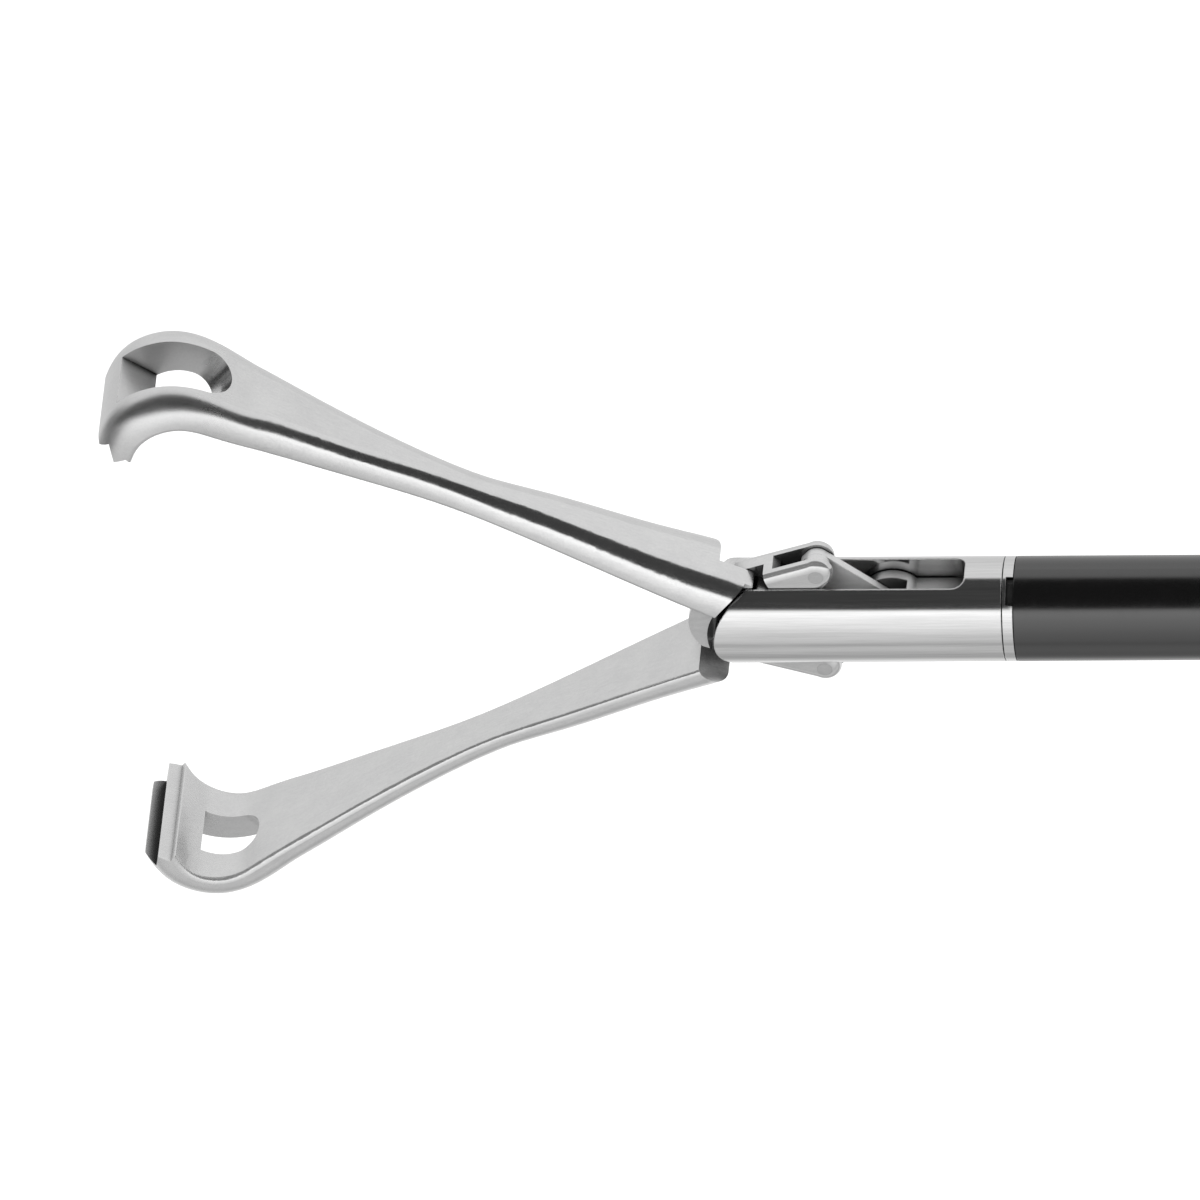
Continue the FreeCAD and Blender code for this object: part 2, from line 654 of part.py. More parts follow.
def clevis():
    """Slotted jaw carrier with two rounded ears and a spigot for the tube."""
    body = rod_x(PIVOT_X - EAR_R, PIVOT_X + CLEVIS_LENGTH, RADIUS)
    ears = pin_y(PIVOT_X, 0, EAR_R, -PAST, PAST).fuse(block(PIVOT_X, PAST, -PAST, PAST, -PAST, PAST))
    body = body.common(ears)
    half = SLOT_WIDTH / 2
    end = PIVOT_X + SLOT_END
    slot = block(PIVOT_X - PAST, end, -half, half, -PAST, PAST)
    corners = edges_where(slot, lambda p: p.x > end - 0.01 and abs(abs(p.y) - half) < 0.01)
    body = body.cut(slot.makeFillet(SLOT_CORNER_R, corners))
    shoulder = PIVOT_X + CLEVIS_LENGTH
    spigot = rod_x(shoulder - SPIGOT_ROOT, shoulder + SPIGOT_LENGTH, BORE_R - SEAT)
    body = body.fuse(spigot).removeSplitter()
    body = body.cut(rod_x(PIVOT_X + CLEVIS_BORE_START, PAST, ROD_D / 2 + RUNNING))
    body = body.cut(rod_x(PIVOT_X + COUNTERBORE_START, PIVOT_X + COUNTERBORE_END, COUNTERBORE_R))
    return body.cut(pin_y(PIVOT_X, 0, PIVOT_PIN_D / 2 + PIN_PRESS_GAP, PIVOT_BLIND_WALL - RADIUS, PAST))


def rod_end_pin():
    """Pin through the rod end's fork and both links, flush with its sides."""
    half = SLOT_WIDTH / 2 - RUNNING
    return pin_y(PIVOT_X + ROD_PIN_OPEN, 0, ROD_PIN_D / 2, -half, half)


def pivot_pin():
    """Jaw axle in a blind bore, ground flush with the far ear's round side."""
    pin = pin_y(PIVOT_X, 0, PIVOT_PIN_D / 2, PIVOT_BLIND_WALL + SEAT - RADIUS, RADIUS)
    return pin.common(rod_x(PIVOT_X - PIVOT_PIN_D, PIVOT_X + PIVOT_PIN_D, RADIUS))


# Shaft

def tube_collar():
    """Bare steel ring between clevis and insulation, with its bayonet notch."""
    ring = rod_x(-COLLAR_LENGTH, -SEAT, RADIUS, TUBE_R + SEAT)
    notch = block(-COLLAR_LENGTH * NOTCH_DEPTH_SHARE, PAST, -NOTCH_WIDTH / 2, NOTCH_WIDTH / 2, 0, PAST)
    notch.rotate(V(0, 0, 0), AXIS_X, NOTCH_ANGLE)
    return ring.cut(notch)


def outer_tube():
    """Stainless tube from the clevis shoulder into the hub."""
    start = PIVOT_X + CLEVIS_LENGTH + SEAT
    return rod_x(start, HUB_X + TUBE_DEPTH, TUBE_R, BORE_R)


def insulation_sleeve():
    """Black insulation over the tube, with a small rounded front edge."""
    sleeve = rod_x(0, HUB_X + SLEEVE_DEPTH, RADIUS, TUBE_R + SEAT)
    rims = [e for e in sleeve.Edges if abs(e.CenterOfMass.x) < 1e-3 and e.Length > 2 * math.pi * (TUBE_R + SEAT)]
    return sleeve.makeFillet(INSULATION_EDGE_R, rims[:1])


def rod_liner():
    """Plastic liner that guides the pull rod inside the tube."""
    start = PIVOT_X + CLEVIS_LENGTH + SPIGOT_LENGTH + LINER_START_GAP
    return rod_x(start, HUB_X + LINER_DEPTH, BORE_R - LINER_BORE_CLEARANCE, ROD_D / 2 + LINER_BORE_CLEARANCE)


# Hub, knob and port

def inset_profile(x, radius, points):
    """Profile points (x, radius) from (distance, inset) pairs."""
    return [(x + distance, radius - inset) for distance, inset in points]


def post_z(radius, low, high, top_radius=None):
    """Round post or cone on the flush port's axis."""
    if top_radius is None:
        return Part.makeCylinder(radius, high - low, V(PORT_AXIS_X, 0, low), AXIS_Z)
    return Part.makeCone(radius, top_radius, high - low, V(PORT_AXIS_X, 0, low), AXIS_Z)


def shaft_hub():
    """Turned hub that carries the tube, the flush port, the knob and the bearing shank."""
    r = HUB_D / 2
    knob_end = KNOB_X + KNOB_LENGTH + KNOB_END_GAP
    shank_end = BARREL_X + SHANK_LENGTH
    body = turned_x(inset_profile(HUB_X, r, HUB_PROFILE) + [
        (knob_end, KNOB_SEAT_R), (knob_end, SHANK_D / 2), (shank_end, SHANK_D / 2)])
    groove = rod_x(CLIP_X, CLIP_X + CLIP_T + 2 * CLIP_PLAY, SHANK_D / 2 + CLIP_OUT, SHANK_D / 2 - CLIP_DEPTH)
    body = body.cut(groove)
    body = body.cut(rod_x(HUB_X - PAST, HUB_X + SLEEVE_DEPTH, RADIUS + SEAT))
    body = body.cut(rod_x(HUB_X, HUB_X + TUBE_DEPTH + SEAT, TUBE_R + SEAT))
    body = body.cut(rod_x(HUB_X, shank_end + PAST, ROD_D / 2 + LINER_BORE_CLEARANCE))
    seal_x = KNOB_X + SEAL_FROM_KNOB
    body = body.cut(rod_x(seal_x, seal_x + SEAL_POCKET, SEAL_POCKET))
    seat = post_z(PORT_D / 2 + SEAT, r - PORT_SEAT_DEPTH, PAST)
    return body.cut(seat).cut(post_z(PORT_CHANNEL_R, 0, PAST))


def flush_port():
    """Luer post screwed into the hub, with its two locking ears."""
    r = HUB_D / 2
    base = r - PORT_SEAT_DEPTH + SEAT
    ear_low = PORT_TOP - PORT_EAR_T
    foot = post_z(PORT_D / 2, base, base + PORT_FOOT_LENGTH)
    neck = post_z(PORT_NECK_R, base, PORT_TOP, PORT_MOUTH_R)
    half = PORT_EAR_WIDTH / 2
    ears = post_z(PORT_EAR_R, ear_low, PORT_TOP).common(block(0, HUB_X + PAST, -half, half, 0, PAST))
    ears = ears.fuse(post_z(PORT_NECK_R, ear_low, PORT_TOP))
    low = r + PORT_HEX_LIFT
    corners = [math.radians(60 * i) for i in range(7)]
    outline = Part.makePolygon([
        V(PORT_AXIS_X + PORT_HEX_R * math.cos(a), PORT_HEX_R * math.sin(a), low) for a in corners])
    hexagon = Part.Face(outline).extrude(V(0, 0, PORT_HEX_T))
    shape = foot.fuse([neck, ears, hexagon]).removeSplitter()
    return shape.cut(post_z(PORT_CHANNEL_R, base, PORT_TOP, PORT_BORE_MOUTH_R))


def flush_cap():
    """Knurled cap over the luer post, with a plug in the bore."""
    r = CAP_D / 2
    low = PORT_TOP + CAP_OVERHANG - CAP_HEIGHT
    high = low + CAP_HEIGHT
    cap = post_z(r, low, high)
    cap = cap.makeFillet(CAP_EDGE_R, edges_where(cap, lambda p: abs(p.z - high) < 1e-3))
    cap = cap.cut(post_z(PORT_EAR_R + 2 * RUNNING, low, PORT_TOP + CAP_ROOF_GAP))
    groove_end = high - CAP_GROOVE_END
    for i in range(CAP_GROOVES):
        angle = 2 * math.pi * i / CAP_GROOVES
        groove = post_z(CAP_GROOVE_R, low, groove_end)
        groove.translate(V(math.cos(angle), math.sin(angle), 0) * (r + CAP_GROOVE_OUT))
        cap = cap.cut(groove)
    return cap.fuse(post_z(CAP_PLUG_R, PORT_TOP - CAP_PLUG_LENGTH, PORT_TOP + CAP_ROOF_GAP))


def rod_seal():
    """Ring seal round the pull rod in the hub."""
    x = KNOB_X + SEAL_FROM_KNOB + SEAL_POCKET / 2
    return Part.makeTorus(SEAL_RING_R, SEAL_CORD_R, V(x, 0, 0), AXIS_X)


def rotation_knob():
    """Fluted thumb wheel pressed on the hub."""
    r = KNOB_D / 2
    end = KNOB_X + KNOB_LENGTH
    knob = turned_x(inset_profile(KNOB_X, r, KNOB_FRONT) + inset_profile(end, r, KNOB_BACK))
    knob = knob.cut(rod_x(KNOB_X, end, KNOB_SEAT_R + SEAT))
    for i in range(KNOB_FLUTES):
        angle = 2 * math.pi * (i + 0.5) / KNOB_FLUTES
        flute = rod_x(KNOB_X, end, KNOB_FLUTE_R)
        flute.translate(V(0, math.cos(angle), math.sin(angle)) * (r + KNOB_FLUTE_OUT))
        knob = knob.cut(flute)
    return knob


def bearing_bush():
    """Plain bearing in the handle for the hub's shank."""
    start = BARREL_X + BUSH_START
    bore = SHANK_D / 2 + RUNNING
    bush = rod_x(start, BARREL_X + BUSH_END, SHANK_D / 2 + BUSH_WALL, bore)
    flange = rod_x(start, start + BUSH_FLANGE_T, SHANK_D / 2 + BUSH_FLANGE, bore)
    return bush.fuse(flange).removeSplitter()


def shank_clip():
    """Retaining ring in the shank's groove that keeps the shaft in the handle."""
    x = CLIP_X + CLIP_PLAY
    ring = rod_x(x, x + CLIP_T, SHANK_D / 2 + CLIP_OUT, SHANK_D / 2 - CLIP_DEPTH + SEAT)
    return ring.cut(block(x - CLIP_T, x + 2 * CLIP_T, -CLIP_MOUTH / 2, CLIP_MOUTH / 2, -PAST, 0))


def rod_ball():
    """Ball screwed on the pull rod's end, held in the lever's pocket."""
    ball = Part.makeSphere(BALL_D / 2, V(BALL_X, 0, 0))
    return ball.cut(rod_x(BALL_X - BALL_D, BALL_X - BALL_D / 2 + BALL_NECK + SEAT, ROD_D / 2 + SEAT))


# Handle

def ring_corners(cx, cz, width, height, lean, grow):
    """Corners of a rounded finger-ring outline, grown outwards by a wall."""
    w = width / 2 + grow
    h = height / 2 + grow
    r = min(width, height) / 2 * RING_SQUARENESS + grow
    c = math.cos(math.radians(lean))
    s = math.sin(math.radians(lean))
    corners = []
    for sx, sz in ((-1, -1), (1, -1), (1, 1), (-1, 1)):
        x = sx * w
        z = sz * h
        corners.append((cx + x * c + z * s, cz - x * s + z * c, r))
    return corners


def soft_plate(wire, thickness, edge_r):
    """Plate with its long outer edges rounded on both sides."""
    solid = plate(wire, thickness)
    half = thickness / 2
    rims = edges_where(solid, lambda p: abs(abs(p.y) - half) < 1e-3)
    return solid.makeFillet(edge_r, rims)


def finger_ring(cx, cz, width, height, lean, wall):
    """Closed finger ring with all its long edges rounded, and the form of its hole."""
    outer = rounded_wire(ring_corners(cx, cz, width, height, lean, wall))
    hole = plate(rounded_wire(ring_corners(cx, cz, width, height, lean, 0)), PAST)
    ring = plate(outer, GRIP_T).cut(hole)
    rims = edges_where(ring, lambda p: abs(abs(p.y) - GRIP_T / 2) < 1e-3)
    return ring.makeFillet(min(GRIP_EDGE_R, RING_EDGE_SHARE * wall), rims), hole


def handle_form():
    """Whole outer form of the fixed handle before it is split and hollowed."""
    r = BARREL_D / 2
    barrel = turned_x(inset_profile(BARREL_X, r, BARREL_FRONT) + inset_profile(BARREL_END_X, r, BARREL_BACK))
    body = soft_plate(rounded_wire(BODY_OUTLINE), BODY_T, BODY_EDGE_R)
    grip = soft_plate(rounded_wire(GRIP_OUTLINE), GRIP_ROOT_T, GRIP_EDGE_R)
    ring, hole = finger_ring(FINGER_X, FINGER_Z, FINGER_W, FINGER_H, FINGER_LEAN, FINGER_WALL)
    return barrel.fuse([body, grip.cut(hole), ring]).removeSplitter()


def handle_cavity():
    """Room inside the handle for bearing, rod, ball, lever and contact."""
    start = BARREL_X + BUSH_START
    bearing = rod_x(BARREL_X - PAST, BARREL_X + BUSH_END + SEAT, SHANK_D / 2 + BUSH_WALL + SEAT)
    flange = rod_x(start - SEAT, start + BUSH_FLANGE_T + SEAT, SHANK_D / 2 + BUSH_FLANGE + SEAT)
    clip_room = rod_x(BARREL_X + BUSH_END - CLIP_ROOM_OVERLAP, BARREL_X + SHANK_LENGTH + CLIP_T,
                      SHANK_D / 2 + CLIP_OUT + CLIP_ROOM)
    half = LEVER_T / 2 + LEVER_GAP
    chamber = block(BARREL_X + SHANK_LENGTH, LEVER_X + CHAMBER_BACK, -half, half, CHAMBER_LOW, CHAMBER_TOP)
    slot = plate(rounded_wire(LEVER_ROOM_OUTLINE), half * 2)
    return bearing.fuse([flange, clip_room, chamber, slot])


def screw(place, grow=0.0):
    """Housing screw across the halves from a (x, z, head height) place; grow widens it into its own hole."""
    x, z, reach = place
    shank = pin_y(x, z, SCREW_D / 2 + grow, -reach, reach - SCREW_BLIND + grow)
    mouth = -PAST if grow else -reach
    return shank.fuse(pin_y(x, z, SCREW_HEAD_R + grow, mouth, SCREW_HEAD_T - reach + grow))


def handle_halves():
    """Left (-Y) and right (+Y) shells with bores for pin, screws and connector."""
    form = handle_form().cut(handle_cavity())
    form = form.cut(pin_y(LEVER_X, LEVER_Z, LEVER_PIN_D / 2 + SEAT, -PAST, PAST))
    for place in SCREW_PLACES:
        form = form.cut(screw(place, SEAT))
    form = form.cut(connector_insulator_form(SEAT))
    box = form.BoundBox
    left = form.common(block(box.XMin - 1, box.XMax + 1, -PAST, -SEAT / 2, box.ZMin - 1, box.ZMax + 1))
    right = form.common(block(box.XMin - 1, box.XMax + 1, SEAT / 2, PAST, box.ZMin - 1, box.ZMax + 1))
    return left, right


def lever_pin():
    """Axle of the thumb lever between the shells."""
    half = BODY_T / 2 - LEVER_PIN_INSET
    return pin_y(LEVER_X, LEVER_Z, LEVER_PIN_D / 2, -half, half)


def lever_washers():
    """Two thin washers that centre the lever in its slot."""
    inner = LEVER_T / 2 + WASHER_PLAY
    outer = LEVER_T / 2 + LEVER_GAP - WASHER_PLAY
    left = pin_y(LEVER_X, LEVER_Z, WASHER_R, -outer, -inner)
    right = pin_y(LEVER_X, LEVER_Z, WASHER_R, inner, outer)
    hole = pin_y(LEVER_X, LEVER_Z, LEVER_PIN_D / 2 + RUNNING, -PAST, PAST)
    return Part.makeCompound([left.cut(hole), right.cut(hole)])


def lever_head():
    """Head of the thumb lever and the room for the rod's ball in it, both at the rest tilt."""
    left = LEVER_X - LEVER_HEAD_HALF
    right = LEVER_X + LEVER_HEAD_HALF
    corners = ((left, LEVER_Z), (left, LEVER_HEAD_TOP), (right, LEVER_HEAD_TOP), (right, LEVER_Z))
    head = plate(rounded_wire([(x, z, LEVER_HEAD_EDGE_R) for x, z in corners]), LEVER_T)
    ball = BALL_D / 2 + RUNNING
    pocket = block(LEVER_X - ball, LEVER_X + ball, -ball, ball, -BALL_D / 2 - POCKET_DEPTH_PLAY, PAST)
    neck = ROD_D / 2 + THROAT_PLAY
    throat = block(LEVER_X - PAST, LEVER_X, -neck, neck, -ROD_D / 2 - THROAT_DEPTH_PLAY, PAST)
    room = pocket.fuse(throat)
    for shape in (head, room):
        shape.rotate(V(LEVER_X, 0, LEVER_Z), AXIS_Y, -LEVER_SWING / 2)
    return head, room


def thumb_lever():
    """Moving lever: ball pocket above its pivot, thumb ring below it."""
    head, room = lever_head()
    hub = pin_y(LEVER_X, LEVER_Z, LEVER_HUB_R, -LEVER_T / 2, LEVER_T / 2)
    lean = math.radians(THUMB_LEAN)
    down = V(math.sin(lean), 0, -math.cos(lean))
    across = V(math.cos(lean), 0, math.sin(lean))
    reach = THUMB_REACH - THUMB_H / 2 - ARM_OVERLAP
    corners = []
    for share, side, r in LEVER_ARM_OUTLINE:
        p = V(LEVER_X, 0, LEVER_Z) + down * (reach * share) + across * side
        corners.append((p.x, p.z, r))
    arm = soft_plate(rounded_wire(corners), LEVER_T, LEVER_EDGE_R)
    ring, hole = finger_ring(THUMB_X, THUMB_Z, THUMB_W, THUMB_H, -THUMB_LEAN, THUMB_WALL)
    shape = head.fuse([hub, arm.cut(hole), ring]).removeSplitter()
    return shape.cut(room).cut(pin_y(LEVER_X, LEVER_Z, LEVER_PIN_D / 2 + RUNNING, -PAST, PAST))


def along_connector(shape):
    """Turns a shape modelled along +Z at the origin onto the tilted connector axis."""
    shape.rotate(V(0, 0, 0), AXIS_Y, CONNECTOR_TILT)
    shape.translate(V(CONNECTOR_X, 0, CONNECTOR_Z))
    return shape


def connector_insulator_form(grow=0.0):
    """Collar round the connector pin's foot; grow widens it into its seat."""
    base = Part.makeCylinder(COLLAR_R + grow, COLLAR_H + grow, V(0, 0, -grow), AXIS_Z)
    return along_connector(base)


def connector_insulator():
    """Plastic collar with a rounded mouth round the high-frequency pin."""
    collar = Part.makeCylinder(COLLAR_R, COLLAR_H, V(0, 0, 0), AXIS_Z)
    rims = edges_where(collar, lambda p: abs(p.z - COLLAR_H) < 1e-3)
    collar = collar.makeFillet(COLLAR_EDGE_R, rims)
    collar = collar.cut(Part.makeCylinder(CONNECTOR_FOOT_R + SEAT, COLLAR_H, V(0, 0, COLLAR_FLOOR), AXIS_Z))
    return along_connector(collar)


def connector_pin():
    """High-frequency connector pin with a thinner foot in the collar and a rounded nose."""
    start = COLLAR_H + CONNECTOR_SHOULDER_GAP
    pin = Part.makeCylinder(CONNECTOR_D / 2, CONNECTOR_LENGTH, V(0, 0, start), AXIS_Z)
    nose = edges_where(pin, lambda p: abs(p.z - start - CONNECTOR_LENGTH) < 1e-3)
    pin = pin.makeFillet(CONNECTOR_NOSE_R, nose)
    low = COLLAR_FLOOR + SEAT
    foot = Part.makeCylinder(CONNECTOR_FOOT_R, start - low + 1, V(0, 0, low), AXIS_Z)
    return along_connector(pin.fuse(foot))


def main():
    """Builds every piece and writes one STEP file for each."""
    os.makedirs("parts", exist_ok=True)
    jaw = closed_upper_jaw()
    pin = tail_pin()
    left, right = handle_halves()
    pieces = {
        "upper_jaw": open_jaw(jaw, True),
        "lower_jaw": open_jaw(jaw, False),
        "upper_jaw_tail_pin": open_jaw(pin, True),
        "lower_jaw_tail_pin": open_jaw(pin, False),
        "upper_jaw_link": link(True),
        "lower_jaw_link": link(False),
        "jaw_clevis": clevis(),
        "jaw_pivot_pin": pivot_pin(),
        "rod_end": rod_end(),
        "rod_end_pin": rod_end_pin(),
        "pull_rod": pull_rod(),
        "rod_ball": rod_ball(),
        "tube_collar": tube_collar(),
        "outer_tube": outer_tube(),
        "insulation_sleeve": insulation_sleeve(),
        "rod_liner": rod_liner(),
        "shaft_hub": shaft_hub(),
        "flush_port": flush_port(),
        "flush_cap": flush_cap(),
        "rod_seal": rod_seal(),
        "rotation_knob": rotation_knob(),
        "bearing_bush": bearing_bush(),
        "shank_clip": shank_clip(),
        "left_handle_shell": left,
        "right_handle_shell": right,
        "handle_screws": Part.makeCompound([screw(place) for place in SCREW_PLACES]),
        "thumb_lever": thumb_lever(),
        "lever_pivot_pin": lever_pin(),
        "lever_washers": lever_washers(),
        "connector_insulator": connector_insulator(),
        "connector_pin": connector_pin(),
    }
    for name, shape in pieces.items():
        shape.exportStep(f"parts/{name}.step")
        print(name, "solids", len(shape.Solids), "valid", shape.isValid(), "volume", round(shape.Volume, 2))
    print("rod travel", ROD_TRAVEL, "lever swing", LEVER_SWING, "lever pivot x", LEVER_X)


main()
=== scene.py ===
"""Looks of a laparoscopic grasper: satin jaws, polished clevis, black insulation and ring handle.

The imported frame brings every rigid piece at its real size. The classes below dress those pieces
with procedural finishes, put socketed screws in place of the handle's plain ones, and set up the
studio. Lengths are in metres unless a name or a docstring says otherwise.
"""

from __future__ import annotations

import json
import logging
import math
from dataclasses import dataclass
from enum import Enum

import bpy
from mathutils import Matrix, Vector

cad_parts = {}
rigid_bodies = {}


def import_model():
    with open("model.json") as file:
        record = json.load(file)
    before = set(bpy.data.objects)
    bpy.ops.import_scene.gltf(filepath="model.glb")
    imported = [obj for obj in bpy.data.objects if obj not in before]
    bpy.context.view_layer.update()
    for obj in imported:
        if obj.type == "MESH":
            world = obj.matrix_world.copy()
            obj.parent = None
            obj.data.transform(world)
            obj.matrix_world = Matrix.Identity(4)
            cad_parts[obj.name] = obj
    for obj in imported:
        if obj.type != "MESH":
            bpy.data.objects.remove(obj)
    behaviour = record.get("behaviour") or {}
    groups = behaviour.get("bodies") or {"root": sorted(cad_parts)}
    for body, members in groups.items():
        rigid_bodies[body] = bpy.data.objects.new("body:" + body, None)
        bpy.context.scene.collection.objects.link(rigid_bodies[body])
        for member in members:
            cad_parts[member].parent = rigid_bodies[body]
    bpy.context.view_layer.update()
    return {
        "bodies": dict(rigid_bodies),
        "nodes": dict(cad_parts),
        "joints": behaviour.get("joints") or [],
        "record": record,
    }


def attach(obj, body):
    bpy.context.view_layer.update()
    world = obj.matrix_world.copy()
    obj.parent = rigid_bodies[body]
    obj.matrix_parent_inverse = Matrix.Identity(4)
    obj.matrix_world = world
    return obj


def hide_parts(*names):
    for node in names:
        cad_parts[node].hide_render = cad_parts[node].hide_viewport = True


LOG = logging.getLogger("grasper")
MM = 0.001
PHOTO_SIDE_PX = 1200
PHOTO_PX_PER_MM = 21.08

Span = tuple[float, float]
Point = tuple[float, float, float]
Colour = tuple[float, float, float]

# Greys of the tent by angle in degrees above the horizon on the camera's side, 180 being the far side
TENT_GREYS = (
    (-180.0, 0.70), (-150.0, 0.74), (-112.0, 0.86), (-101.0, 0.66), (-92.0, 0.44), (-78.0, 0.42),
    (-64.0, 0.56), (-50.0, 0.58), (-43.0, 0.44), (-36.0, 0.60), (-14.0, 0.74), (0.0, 0.90),
    (14.0, 1.00), (28.0, 1.22), (37.0, 1.22), (41.0, 0.05), (110.0, 0.05), (115.0, 0.78),
    (147.0, 0.79), (154.0, 0.70), (180.0, 0.70),
)


class Signal:
    """A shader socket that can stand in Python arithmetic."""

    def __init__(self, desk: Desk, socket: bpy.types.NodeSocket) -> None:
        """Keeps the socket and the desk that adds nodes for it."""
        self.desk = desk
        self.socket = socket

    def _math(self, operation: str, first: Signal | float, second: Signal | float) -> Signal:
        """Adds one Math node for two operands."""
        return self.desk.node("ShaderNodeMath", {"operation": operation}, {0: first, 1: second})

    def __add__(self, other: Signal | float) -> Signal:
        """Sum."""
        return self._math("ADD", self, other)

    __radd__ = __add__

    def __sub__(self, other: Signal | float) -> Signal:
        """Difference."""
        return self._math("SUBTRACT", self, other)

    def __rsub__(self, other: float) -> Signal:
        """Difference from a plain number."""
        return self._math("SUBTRACT", other, self)

    def __mul__(self, other: Signal | float) -> Signal:
        """Product."""
        return self._math("MULTIPLY", self, other)

    __rmul__ = __mul__

    def clamped(self) -> Signal:
        """Value kept between 0 and 1."""
        return self.desk.node("ShaderNodeClamp", {}, {"Value": self, "Min": 0.0, "Max": 1.0})

    def stepped(self, low: float, high: float) -> Signal:
        """Smooth rise from 0 at low to 1 at high.

        Args:
            low: Input value where the rise starts.
            high: Input value where it ends.

        Returns:
            A signal from 0 to 1.
        """
        return self.desk.node(
            "ShaderNodeMapRange",
            {"interpolation_type": "SMOOTHSTEP"},
            {"Value": self, "From Min": low, "From Max": high, "To Min": 0.0, "To Max": 1.0},
        )


class Desk:
    """Writes the node tree of one material or world."""

    EDGE_SAMPLES: int = 6
    EDGE_RANGE: Span = (0.02, 0.25)
    # Samples and range of the painted shade in gaps and corners
    GAP_SAMPLES: int = 8
    GAP_RANGE: Span = (0.14, 0.62)

    def __init__(self, tree: bpy.types.NodeTree) -> None:
        """Clears the tree for a new finish."""
        self.tree = tree
        tree.nodes.clear()

    def node(
        self,
        kind: str,
        settings: dict[str, object] | None = None,
        inputs: dict[str | int, object] | None = None,
        output: str | int = 0,
    ) -> Signal:
        """Adds a node, sets it up and connects it.

        Args:
            kind: Blender's node type name.
            settings: Node properties, set first. "stops" fills a ramp with (place, grey) pairs.
            inputs: Socket values or signals by name or number.
            output: Socket that the returned signal stands for.

        Returns:
            Signal of the chosen output.
        """
        made = self.tree.nodes.new(kind)
        for name, value in (settings or {}).items():
            if name == "stops":
                self._fill_ramp(made.color_ramp, value)
            else:
                setattr(made, name, value)
        for name, value in (inputs or {}).items():
            if isinstance(value, Signal):
                self.tree.links.new(value.socket, made.inputs[name])
            else:
                made.inputs[name].default_value = value
        return Signal(self, made.outputs[output])

    @staticmethod
    def _fill_ramp(ramp: bpy.types.ColorRamp, stops: list[Span]) -> None:
        """Fills a ramp with grey stops.

        Args:
            ramp: The ramp of a new node.
            stops: Pairs of place and grey, in rising order of place.
        """
        while len(ramp.elements) < len(stops):
            ramp.elements.new(1.0)
        for element, (place, grey) in zip(ramp.elements, stops):
            element.position = place
            element.color = (grey, grey, grey, 1.0)

    def place(self, turn_y: float = 0.0, stretch: Point = (1.0, 1.0, 1.0)) -> Signal:
        """Object coordinates in millimetres, turned about Y and stretched.

        Args:
            turn_y: Turn in degrees that lays the X axis along a slanted piece.
            stretch: Factors that widen or narrow a pattern on each axis.

        Returns:
            Vector signal.
        """
        coordinates = self.node("ShaderNodeTexCoord", output="Object")
        return self.node(
            "ShaderNodeMapping",
            {"vector_type": "POINT"},
            {
                "Vector": coordinates,
                "Rotation": (0.0, math.radians(turn_y), 0.0),
                "Scale": tuple(factor / MM for factor in stretch),
            },
        )

    def axis(self, vector: Signal, name: str) -> Signal:
        """One axis of a vector."""
        return self.node("ShaderNodeSeparateXYZ", {}, {"Vector": vector}, name)

    def noise(self, where: Signal, scale: float, detail: float = 2.0, roughness: float = 0.5) -> Signal:
        """Noise from 0 to 1 with a feature size of about 1/scale millimetres."""
        inputs = {"Vector": where, "Scale": scale, "Detail": detail, "Roughness": roughness}
        return self.node("ShaderNodeTexNoise", {}, inputs)

    def rounded(self, radius: float) -> Signal:
        """Normal of the faces as if every edge had this small radius."""
        return self.node("ShaderNodeBevel", {"samples": self.EDGE_SAMPLES}, {"Radius": radius})

    def edge(self, rounded: Signal) -> Signal:
        """Mask that is 1 along edges and 0 on open faces, for edge wear and for painted edge highlights.

        Args:
            rounded: Normal that the rounded method gave.

        Returns:
            Signal from 0 to 1.
        """
        plain = self.node("ShaderNodeNewGeometry", output="Normal")
        product = {"operation": "DOT_PRODUCT"}
        alike = self.node("ShaderNodeVectorMath", product, {0: rounded, 1: plain}, "Value")
        return (1.0 - alike).stepped(*self.EDGE_RANGE)

    def painted_crevice_shade(self, reach: float, strength: float) -> Signal:
        """Share of colour left after the painted shade in gaps and corners, 1 on open faces.

        Args:
            reach: How far away a neighbouring face still shades.
            strength: Darkness of the painted shade in the deepest gap, from 0 to 1.

        Returns:
            Signal from 1 - strength to 1.
        """
        samples = {"samples": self.GAP_SAMPLES}
        unshaded_share = self.node("ShaderNodeAmbientOcclusion", samples, {"Distance": reach}, "AO")
        return 1.0 - (1.0 - unshaded_share).stepped(*self.GAP_RANGE) * strength

    def mix(self, share: Signal, low: Signal | Colour, high: Signal | Colour) -> Signal:
        """Colour that goes from low to high with the share.

        Args:
            share: Signal from 0 to 1.
            low: Colour where the share is 0.
            high: Colour where the share is 1.

        Returns:
            Colour signal.
        """
        first, last = (end if isinstance(end, Signal) else (*end, 1.0) for end in (low, high))
        return self.node("ShaderNodeMix", {"data_type": "RGBA"}, {0: share, 6: first, 7: last}, output=2)

    def bump(self, height: Signal, depth: float, normal: Signal | None = None) -> Signal:
        """Normal that follows a height signal.

        Args:
            height: Signal from 0 to 1.
            depth: How far a height of 1 stands out.
            normal: Normal to start from, or None for the mesh's own.

        Returns:
            Normal signal.
        """
        inputs: dict[str | int, object] = {"Height": height, "Distance": depth, "Strength": 1.0}
        if normal is not None:
            inputs["Normal"] = normal
        return self.node("ShaderNodeBump", {}, inputs)

    def end(self, kind: str, shader: Signal) -> None:
        """Connects a shader to the tree's output node."""
        self.tree.links.new(shader.socket, self.tree.nodes.new(kind).inputs["Surface"])

    def surface(self, inputs: dict[str | int, object]) -> None:
        """Ends the tree in one Principled shader."""
        self.end("ShaderNodeOutputMaterial", self.node("ShaderNodeBsdfPrincipled", {}, inputs))


